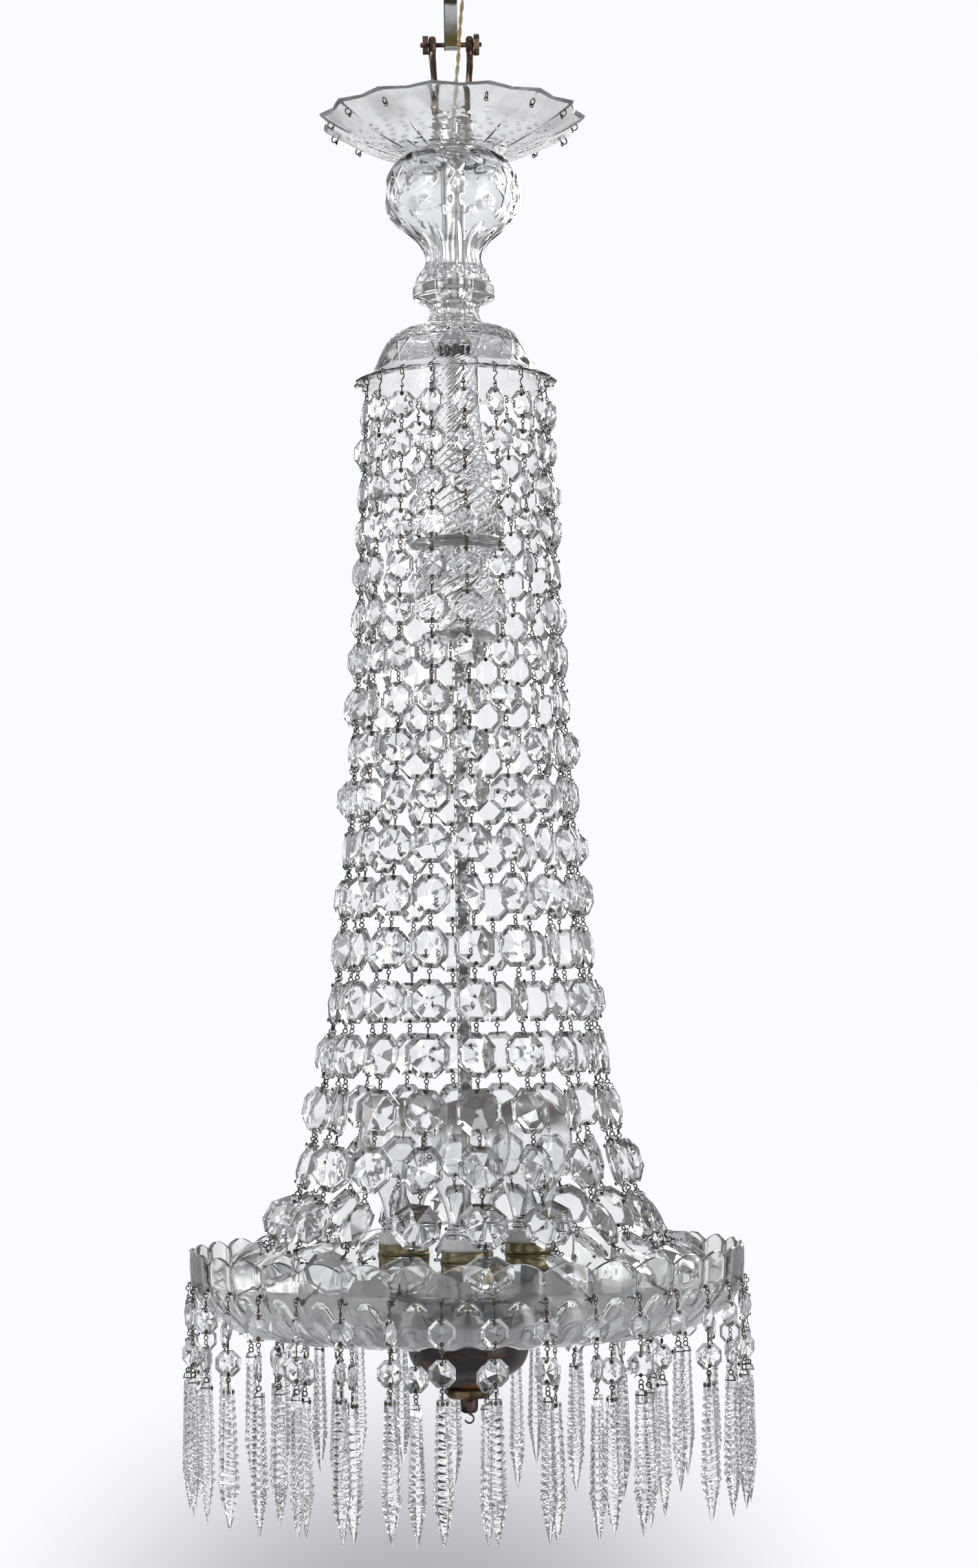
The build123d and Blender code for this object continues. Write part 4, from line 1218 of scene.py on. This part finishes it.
def make_tent():
    """Every string with its hook, its stones from small to large with even gaps, and its tie."""
    marks = string_marks()
    sizes = [top_octagon + (bottom_octagon - top_octagon) * row / (string_rows - 1)
             for row in range(string_rows)]
    gap = (marks[-1][0] - top_wire - tie_wire - sum(sizes)) / (string_rows - 1)
    middles = []
    middle = top_wire + top_octagon / 2
    for row, across in enumerate(sizes):
        middles.append(next(mark for mark in marks if mark[0] >= middle))
        if row < string_rows - 1:
            middle += (across + sizes[row + 1]) / 2 + gap
    items = []
    for string in range(string_count):
        angle = string_first + tau * string / string_count
        items.append((hook, around(angle, string_hook_radius, bell_rim), plain))
        for row, (across, (_, radius, height, lean)) in enumerate(zip(sizes, middles)):
            spot = hung(angle, radius, height, lean) @ Matrix.Rotation(stone_yaw(row, string), 4, "Z")
            items += stone_items(spot, across, (row + 2 * string) % 3 == 0)
        _, radius, height, lean = middles[-1]
        edge_radius = radius + sizes[-1] / 2 * sin(lean)
        edge_height = height - sizes[-1] / 2 * cos(lean)
        outwards = string_foot_radius - edge_radius
        downwards = edge_height - hook_height
        reach = hypot(outwards, downwards)
        slope = atan2(outwards, downwards)
        items.append((tie, hung(angle, edge_radius, edge_height, slope), (1.0, 1.0, reach / tie_wire)))
    strung("crystal_tent", items, "chandelier", ("tent_octagons", "tent_wires"))


# ------------------------------------------------------------------ bowl
def bowl_edge(angle, radius, height):
    """Thirty-six flat lobes with arched tops, which end in the flutes of the lower half."""
    corner, hollow = 0.0014, 0.0006
    lobe_end, lobe_fade, arch_end = 0.040, 0.015, 0.020
    drop = bowl_rim - height
    off = aside(angle, scallops, string_first + pi / scallops)
    lobe = (corner * off ** 9 + hollow * off ** 2) * clamped((lobe_end - drop) / lobe_fade)
    arch = scallop_rise * off ** 2 * max(0.0, 1 - max(0.0, drop) / arch_end)
    return radius - lobe, height - arch


def bowl_cut(angle, radius, height):
    """Leaf-shaped flutes on the lower half, one below each scallop."""
    deepest, widest = 0.0021, 0.70
    floor_from, floor_to, floor_drop = 0.138, 0.060, 0.058
    drop = bowl_rim - height
    if drop < flute_start + 0.0002 or radius < floor_to:
        return 0.0
    down = drop - flute_start + (floor_from - radius if drop > floor_drop and radius < floor_from else 0.0)
    half = widest * min(1.0, down / 0.016) ** 0.6
    off = aside(angle, scallops, string_first + pi / scallops) / half
    fade = clamped((radius - floor_to) / 0.060) * min(1.0, down / 0.005)
    return max(0.0, deepest * (1 - off * off) * fade)


def make_bowl():
    """The scalloped bowl, and the pins in its wall and its floor."""
    outer = [(0.1900, bowl_rim)]
    outer += dropped(bowl_rim, [(0.0006, 0.1910), (0.0090, 0.1912), (0.0180, 0.1908), (0.0266, 0.1892),
                                (0.0345, 0.1852), (0.0414, 0.1790), (0.0480, 0.1708), (0.0533, 0.1610),
                                (0.0572, 0.1496), (0.0592, 0.1380)], 8)
    outer += [(radius, bowl_bottom) for radius in (0.134, 0.130, 0.125, 0.118, 0.110, 0.103, 0.096, 0.088,
                                                   0.080, 0.070, 0.060, 0.040, 0.020, rod_bore)]
    floor = bowl_bottom + bowl_wall
    inner = [(radius, floor) for radius in (rod_bore, 0.020, 0.060, 0.100, 0.125)]
    wall = dropped(bowl_rim, [(0.0460, 0.1650), (0.0385, 0.1750), (0.0305, 0.1820), (0.0220, 0.1856),
                              (0.0120, 0.1870), (0.0006, 0.1876)])
    inner += smooth_line([(0.1380, floor), (0.1530, floor + 0.0030)] + wall, 4)
    inner.append((0.1884, bowl_rim))
    make("scalloped_bowl", vessel(outer, inner, 504, bowl_cut, bowl_edge), bowl_crystal,
         ("bowl",), sharp=35)
    pins = []
    for shape, count, radius, height in ((pin, scallops, hook_wall_radius, hook_height),
                                         (underpin, string_count, inner_circle, bowl_bottom)):
        for index in range(count):
            pins.append((shape, around(string_first + tau * index / count, radius, height), plain))
    strung("bowl_pins", pins, "chandelier", ("bowl_hooks",))


# ------------------------------------------------------------------ pan and lamps
lamp_places = [(lamp_circle * sin(tau * index / 3), -lamp_circle * cos(tau * index / 3))
               for index in range(3)]
shell_top = top("lampholders")
bulb_bottom = bottom("bulb_globes")
bulb_top = top("bulb_globes")
cap_bottom = bottom("bulb_caps")


def at_lamps(profile, sides, shape=None, closed=True, caps=True):
    """The same turned form at each of the three lamps."""
    return together(*[turned(profile, sides, place, shape, closed, caps) for place in lamp_places])


def make_pan():
    """The shallow dished pan on the bowl's floor, and the lamps' disc with its hub."""
    low, high = bottom("reflector_pan") + seam, top("reflector_pan")
    sheet = 0.0012
    pan = [(rod_bore, low), (0.1150, low), (0.1185, low + 0.0006)]
    pan += dropped(high, [(0.0012, 0.1470), (0.0004, 0.1494), (0, 0.1500), (0, 0.1488), (0.0008, 0.1462)])
    pan += [(0.1175, low + 0.0020)] + [(radius, low + sheet) for radius in (0.1145, 0.0700, rod_bore)]
    make("enamel_pan", turned(pan, 96), enamel, ("reflector_pan",))
    disc = dropped(plate_top, [(0, rod_bore), (0, 0.0628), (0.0010, 0.0640), (0.0020, 0.0628),
                               (0.0020, 0.0124), (0.0030, 0.0120)])
    disc += [(0.0120, bottom("lamp_plate")), (rod_bore, bottom("lamp_plate"))]
    make("lamp_disc", turned(disc, 72), plate_metal, ("lamp_plate",))


def make_lampholders():
    """Three pillars, the brass shells on them, and a ribbed ring on each shell."""
    pillar = dropped(plate_top, [(0, 0.0092), (-0.0012, 0.0092), (-0.0022, 0.0070)])
    pillar += dropped(top("lamp_pillars"), [(0.0015, 0.0068), (0, 0.0070)])
    make("lamp_columns", at_lamps(pillar, 32, closed=False), worn_steel, ("lamp_pillars",))
    shell = dropped(shell_top, [(0, shell_bore), (0, 0.0170), (0.0006, 0.0175), (0.0056, 0.0176),
                                (0.0062, 0.0183), (0.0068, 0.0186), (0.0074, 0.0183), (0.0078, 0.0178),
                                (0.0083, 0.0184), (0.0089, 0.0185), (0.0095, 0.0178), (0.0170, 0.0175),
                                (0.0178, 0.0180), (0.0185, 0.0176), (0.0200, 0.0150), (0.0222, 0.0110),
                                (0.0235, 0.0090)])
    seat = cap_bottom - 0.0003        # where the lamp's cap stops
    bore = [(0.0060, bottom("lampholders")), (0.0060, seat), (shell_bore, seat)]
    make("brass_shells", at_lamps(shell + bore, 56), brass, ("lampholders",), sharp=35)
    ribs = 48

    def ribbed(angle, radius, height):
        """Upright ribs on the outside of a shade ring."""
        depth = 0.00045 if radius > 0.0166 else 0.0
        return radius - depth * aside(angle, ribs), height

    ring = dropped(shell_top, [(0, shell_bore), (0, 0.0165), (-0.0008, 0.0172), (-0.0016, 0.0176)])
    ring += dropped(top("shade_rings"), [(0.0022, 0.0174), (0.0014, 0.0165), (0.0002, 0.0163), (0, 0.0158),
                                         (0, shell_bore)])
    make("ribbed_rings", at_lamps(ring, 2 * ribs, ribbed), porcelain, ("shade_rings",),
         sharp=24)


def lamp_wires(base):
    """What stands on a lamp's glass mount at base: two leads, five holders and the wavy filament."""
    spread = 0.0130
    wires = []
    for way in (-1, 1):
        wires.append(tube([base + Vector((way * 0.0012, 0, 0)), base + Vector((way * 0.0016, 0, 0.016)),
                           base + Vector((way * spread, 0.002, 0.036))], 0.00022, 4))
    for spoke in range(5):
        angle = tau * spoke / 5 + 0.3
        tip = Vector((0.012 * sin(angle), -0.012 * cos(angle), 0.026))
        wires.append(tube([base + Vector((0, 0, 0.018)), base + tip], 0.00015, 3))
    coil = []
    for step in range(41):
        angle = tau * (step / 40 * 0.86 + 0.07)
        coil.append(base + Vector((spread * sin(angle), -spread * cos(angle),
                                   0.0275 + 0.0006 * sin(step * 1.7))))
    wires.append(tube(coil, 0.00018, 4))
    return wires


def make_bulbs():
    """Three blown bulbs with their threaded caps, glass mounts and wires."""
    tall = bulb_top - bulb_bottom
    outer = dropped(bulb_top, [(0, 0.0), (0.0010, 0.0085), (0.0050, 0.0176), (0.0120, 0.0252),
                               (0.0200, 0.0292), (0.0305, 0.0305), (0.0410, 0.0290), (0.0520, 0.0246),
                               (0.0620, 0.0194), (0.0700, 0.0160), (0.0780, 0.0137), (tall, 0.0126)], 4)
    glass = 0.0009
    inner = [(max(0.0, radius - glass), min(height, bulb_top - glass))
             for radius, height in reversed(outer)]
    make("clear_bulbs", at_lamps(outer + inner, 48, closed=False, caps=False), blown_glass,
         ("bulb_globes",), sharp=40)
    pitch = 0.0036
    wave = 0.0006

    def threaded(angle, radius, height):
        """A rolled thread that climbs one pitch a turn."""
        if radius < 0.0120:
            return radius, height
        return radius - wave + wave * cos(tau * height / pitch - angle), height

    cap = dropped(bulb_bottom, [(0, 0.0122), (0.0003, 0.0128)])
    cap += [(0.0132, bulb_bottom - 0.0008 - 0.0004 * step) for step in range(48)]
    cap += dropped(bulb_bottom, [(0.0212, 0.0119)])
    cap += dropped(cap_bottom, [(-0.0025, 0.0075), (-0.0006, 0.0059), (0, 0.0040)])
    make("screw_caps", at_lamps(cap, 40, threaded, closed=False), cap_metal, ("bulb_caps",),
         sharp=50)
    mount_top, wire_base = bulb_bottom + 0.031, bulb_bottom + 0.012
    mount = dropped(mount_top, [(0, 0.0), (0.0006, 0.0016), (0.0022, 0.0024), (0.0040, 0.0016),
                                (0.0052, 0.0019), (0.0150, 0.0024), (0.0200, 0.0046), (0.0270, 0.0064),
                                (0.0310, 0.0070)])
    make("bulb_mounts", at_lamps(mount, 20, closed=False), blown_glass, sharp=40)
    wires = []
    for place in lamp_places:
        wires += lamp_wires(Vector((*place, wire_base)))
    make("bulb_wires", together(*wires), cap_metal, sharp=60)


# ------------------------------------------------------------------ finial
def make_finial():
    """The wooden cup, the knurled ring, the nut and its little hook below the bowl."""
    high, low = bowl_bottom - seam, bottom("finial_cup")
    cup = [(rod_bore, high), (0.0410, high)]
    cup += dropped(high, [(0.0006, 0.0418), (0.0060, 0.0420), (0.0120, 0.0418), (0.0180, 0.0403),
                          (0.0240, 0.0370), (0.0285, 0.0315), (0.0315, 0.0255), (0.0334, 0.0222),
                          (0.0352, 0.0205), (0.0368, 0.0178), (high - low, 0.0160)], 4)
    cup.append((rod_bore, low))
    make("wood_finial", turned(cup, 72), wood, ("finial_cup",), sharp=35)
    knurls = 44
    knurl_lean = 40                   # radians a metre

    def knurled(angle, radius, height):
        """A rope-like knurl round the ring."""
        depth = 0.0005 if radius > 0.0155 else 0.0
        return radius - depth * aside(angle + (height - low) * knurl_lean, knurls), height

    ring_low = bottom("finial_ring")
    ring = dropped(low, [(0, rod_bore), (0, 0.0140), (0.0006, 0.0158), (0.0022, 0.0170), (0.0040, 0.0170),
                         (0.0054, 0.0160), (0.0062, 0.0148)])
    ring += [(0.0140, ring_low), (rod_bore, ring_low)]
    make("knurled_ring", turned(ring, 176, shape=knurled), dark_brass, ("finial_ring",), sharp=40)
    nut_low = bottom("finial_nut")
    nut = dropped(ring_low, [(0, 0.0062), (0.0010, 0.00625), (0.0070, 0.0060)])
    nut += dropped(nut_low, [(-0.0014, 0.0056), (-0.0003, 0.0042), (0, 0.0030)])
    make("cap_nut", turned(nut, 32, closed=False), dark_steel, ("finial_nut",))
    bend = 0.0030
    eye = [(0, 0, nut_low + 0.0003)]
    for step in range(1, 15):
        turn = -0.3 + step * 0.34
        eye.append((bend * sin(turn), 0.0, nut_low - 0.0038 + bend * cos(turn)))
    make("finial_eye", tube(eye, 0.0007, 8), wire_metal, ("finial_hook",), sharp=60)


# ------------------------------------------------------------------ pendants
def pendant_items(spot, octagons, first_wire, seed, outermost=False):
    """A pendant that hangs from a place: a wire, one or two stones and a prism.

    An outermost one faces outwards, so that it stays inside the whole's width and depth.
    """
    stone_turn, prism_turn = (9, 0) if outermost else (48, 62)
    slack = 0.0009
    items = [(drop, spot, (1.0, 1.0, first_wire / pendant_wire))]
    reached = slack + first_wire
    for index in range(octagons):
        yaw = radians(stone_turn * sin(3.1 * seed + 2.3 * index))
        middle = Matrix.Translation((0, 0, -reached - pendant_octagon / 2))
        turn = spot @ middle @ Matrix.Rotation(yaw, 4, "Z")
        items += stone_items(turn, pendant_octagon, (seed + index) % 2 == 0)
        reached += pendant_octagon + pendant_wire
    yaw = radians(prism_turn * sin(1.9 * seed + 0.8))
    turn = spot @ Matrix.Translation((0, 0, -reached)) @ Matrix.Rotation(yaw, 4, "Z")
    items.append((prism, turn, plain))
    items.append((eye_above, turn, (1.0, 1.25, 1.15)))
    return items


def outer_pendant(angle, index):
    """One of the pendants on the bowl's wall."""
    spot = around(angle, hook_wall_radius + hook_reach, hook_height)
    outermost = abs(beside(angle, 4)) < radians(8)
    return pendant_items(spot, 1 if index == short_pendant else 2, pendant_wire, index, outermost)


def inner_pendant(angle, index):
    """One of the pendants below the bowl."""
    spot = around(angle, inner_circle, bowl_bottom - inner_drop)
    return pendant_items(spot, 1, inner_wire, index + 40)


def make_pendants():
    """Two neighbouring pendants make one piece and ride on one body."""
    for place, count, pendant in (("outer", scallops, outer_pendant),
                                  ("inner", string_count, inner_pendant)):
        for pair in range(count // 2):
            items = []
            for index in (2 * pair, 2 * pair + 1):
                items += pendant(string_first + tau * index / count, index)
            name = f"{place}_pendants_{pair + 1:02d}"
            strung(name.replace("pendants", "drops"), items, name, (name,))


# ------------------------------------------------------------------ studio
floor_radius = 2.5
floor_gap = 0.65                  # from the lowest point down to the floor


def make_floor():
    """A pale round floor that fades out at its edge, and isn't there from below."""
    finish, nodes = new_finish("pale_floor")
    away = nodes.add("ShaderNodeVectorMath", {"operation": "LENGTH"}, {0: nodes.place()}, "Value")
    seen = nodes.spread(away, floor_radius * 0.40, floor_radius * 0.96, 1.0, 0.0)
    behind = nodes.add("ShaderNodeNewGeometry", output="Backfacing")
    paper = nodes.add("ShaderNodeBsdfDiffuse", sockets={"Color": (0.86, 0.87, 0.90, 1)})
    clear = nodes.add("ShaderNodeBsdfTransparent")
    shader = nodes.add("ShaderNodeMixShader", {}, {0: seen * (1 - behind), 1: clear, 2: paper})
    nodes.add("ShaderNodeOutputMaterial", sockets={"Surface": shader})
    mesh = bpy.data.meshes.new("floor")
    work = bmesh.new()
    bmesh.ops.create_circle(work, cap_ends=True, radius=floor_radius, segments=96)
    work.to_mesh(mesh)
    work.free()
    mesh.materials.append(finish)
    floor = added("floor", mesh)
    floor.location.z = cad_box[0].z - floor_gap


def light_studio():
    """Three lamps, and six bright panels all round with dark gaps between them, greyer above and below.

    The panels only light the piece: seen directly, the world is pale paper, with a soft grey shade low
    down behind the piece.
    """
    world = bpy.data.worlds.new("studio")
    bpy.context.scene.world = world
    world.use_nodes = True
    nodes = Nodes(world.node_tree)
    x = nodes.split(nodes.add("ShaderNodeTexCoord", output="Generated"))
    y, z = x.of("Y"), x.of("Z")
    sideways = nodes.math("ARCTAN2", x, y)
    stripes = nodes.math("COSINE", sideways * 6.0)
    panels = nodes.spread(stripes, -0.45, 0.15)
    ceiling = nodes.spread(z, 0.20, 0.60)
    ground = nodes.spread(z * -1.0, 0.20, 0.60)
    level = panels * 0.75 + 0.22
    studio = level * (1 - ceiling * 0.65) * (1 - ground * 0.70)
    lit = nodes.add("ShaderNodeBackground", sockets={"Color": (0.97, 0.98, 1.0, 1), "Strength": studio})
    across = (sideways + radians(1.0)) / radians(6.5)
    upwards = (nodes.math("ARCSINE", z) + radians(12.0)) / radians(5.0)
    from_shade = (across ** 2 + upwards ** 2) ** 0.5
    shade = nodes.spread(from_shade, 0.35, 1.35, 1.0, 0.0)
    paper = nodes.mix(shade, (0.955, 0.968, 1.0, 1), (0.44, 0.44, 0.48, 1))
    seen = nodes.add("ShaderNodeBackground", sockets={"Color": paper, "Strength": 1.0})
    straight = nodes.add("ShaderNodeLightPath", output="Is Camera Ray")
    shader = nodes.add("ShaderNodeMixShader", {}, {0: straight, 1: lit, 2: seen})
    nodes.add("ShaderNodeOutputWorld", sockets={"Surface": shader})
    middle = Vector((0, 0, (cad_box[0].z + cad_box[1].z) / 2))
    for name, place, width, power in (("key", (-1.5, -2.0, 0.35), 0.7, 22.0),
                                      ("fill", (1.9, -1.4, -0.9), 0.9, 12.0),
                                      ("rim", (0.9, 2.1, 0.3), 0.8, 16.0)):
        data = bpy.data.lights.new(name, "AREA")
        data.shape = "RECTANGLE"
        data.size = width
        data.size_y = width * 1.6
        data.energy = power
        lamp = added(name, data)
        lamp.location = place
        lamp.rotation_euler = (middle - Vector(place)).to_track_quat("-Z", "Y").to_euler()
    scene = bpy.context.scene
    scene.view_settings.view_transform = "Standard"
    scene.cycles.max_bounces = 24
    scene.cycles.transmission_bounces = 24
    scene.cycles.glossy_bounces = 8
    scene.cycles.transparent_max_bounces = 16
    scene.cycles.use_denoising = True


# ------------------------------------------------------------------ the whole
crystal = glass_finish("crystal", (0.965, 0.972, 0.980, 1), 0.05, 0.03)
dusty_crystal = glass_finish("dusty_crystal", (0.95, 0.96, 0.965, 1), 0.16, 0.42, 0.066)
pressed_crystal = glass_finish("pressed_crystal", (0.97, 0.975, 0.98, 1), 0.30, 0.55)
bowl_crystal = glass_finish("bowl_crystal", (0.955, 0.965, 0.965, 1), 0.12, 0.10)
blown_glass = bulb_finish()
nickel = metal_finish("worn_nickel", (0.66, 0.65, 0.63, 1), (0.34, 0.32, 0.30, 1), 0.45)
polished = metal_finish("stem_nickel", (0.80, 0.80, 0.79, 1), (0.45, 0.44, 0.43, 1), 0.15, 0.16, (6, 6, 1))
strap_metal = strap_finish()
worn_steel = metal_finish("worn_steel", (0.46, 0.44, 0.42, 1), (0.20, 0.18, 0.17, 1), 0.6, 0.34)
brown_steel = metal_finish("brown_steel", (0.30, 0.21, 0.15, 1), (0.09, 0.06, 0.045, 1), 0.8, 0.34)
dark_steel = metal_finish("dark_steel", (0.12, 0.09, 0.08, 1), (0.04, 0.03, 0.03, 1), 0.8, 0.42)
bronze = metal_finish("worn_bronze", (0.45, 0.31, 0.19, 1), (0.07, 0.05, 0.04, 1), 0.9, 0.30, (3, 3, 0.6))
brass = metal_finish("antique_brass", (0.28, 0.235, 0.140, 1), (0.20, 0.165, 0.095, 1), 0.6, 0.28, (1, 1, 3))
dark_brass = metal_finish("dark_brass", (0.26, 0.20, 0.12, 1), (0.08, 0.06, 0.035, 1), 0.7, 0.32)
cap_metal = metal_finish("rolled_cap", (0.80, 0.80, 0.82, 1), (0.40, 0.40, 0.42, 1), 0.15, 0.20)
plate_metal = metal_finish("lamp_plate_metal", (0.30, 0.29, 0.28, 1), (0.10, 0.10, 0.10, 1), 0.6, 0.40)
wire_metal = metal_finish("dark_wire", (0.17, 0.15, 0.13, 1), (0.05, 0.04, 0.035, 1), 0.6, 0.40, size=300.0)
enamel = enamel_finish()
porcelain = porcelain_finish()
wood = wood_finish()
flex_cloth = flex_finish()
connector_plastic = plastic_finish()
string_tree = stringing_tree()
twist_tree = twisting_tree()
shapes = shape_collection()

make_camera()
make_flex()
dress_hanger()
make_bolt()
make_nuts()
make_shackle()
make_stem()
make_dish()
make_baluster()
make_bell()
make_twisted_glass()
make_glass_rings()
make_tent()
make_bowl()
make_pan()
make_lampholders()
make_bulbs()
make_finial()
make_pendants()
make_floor()
light_studio()
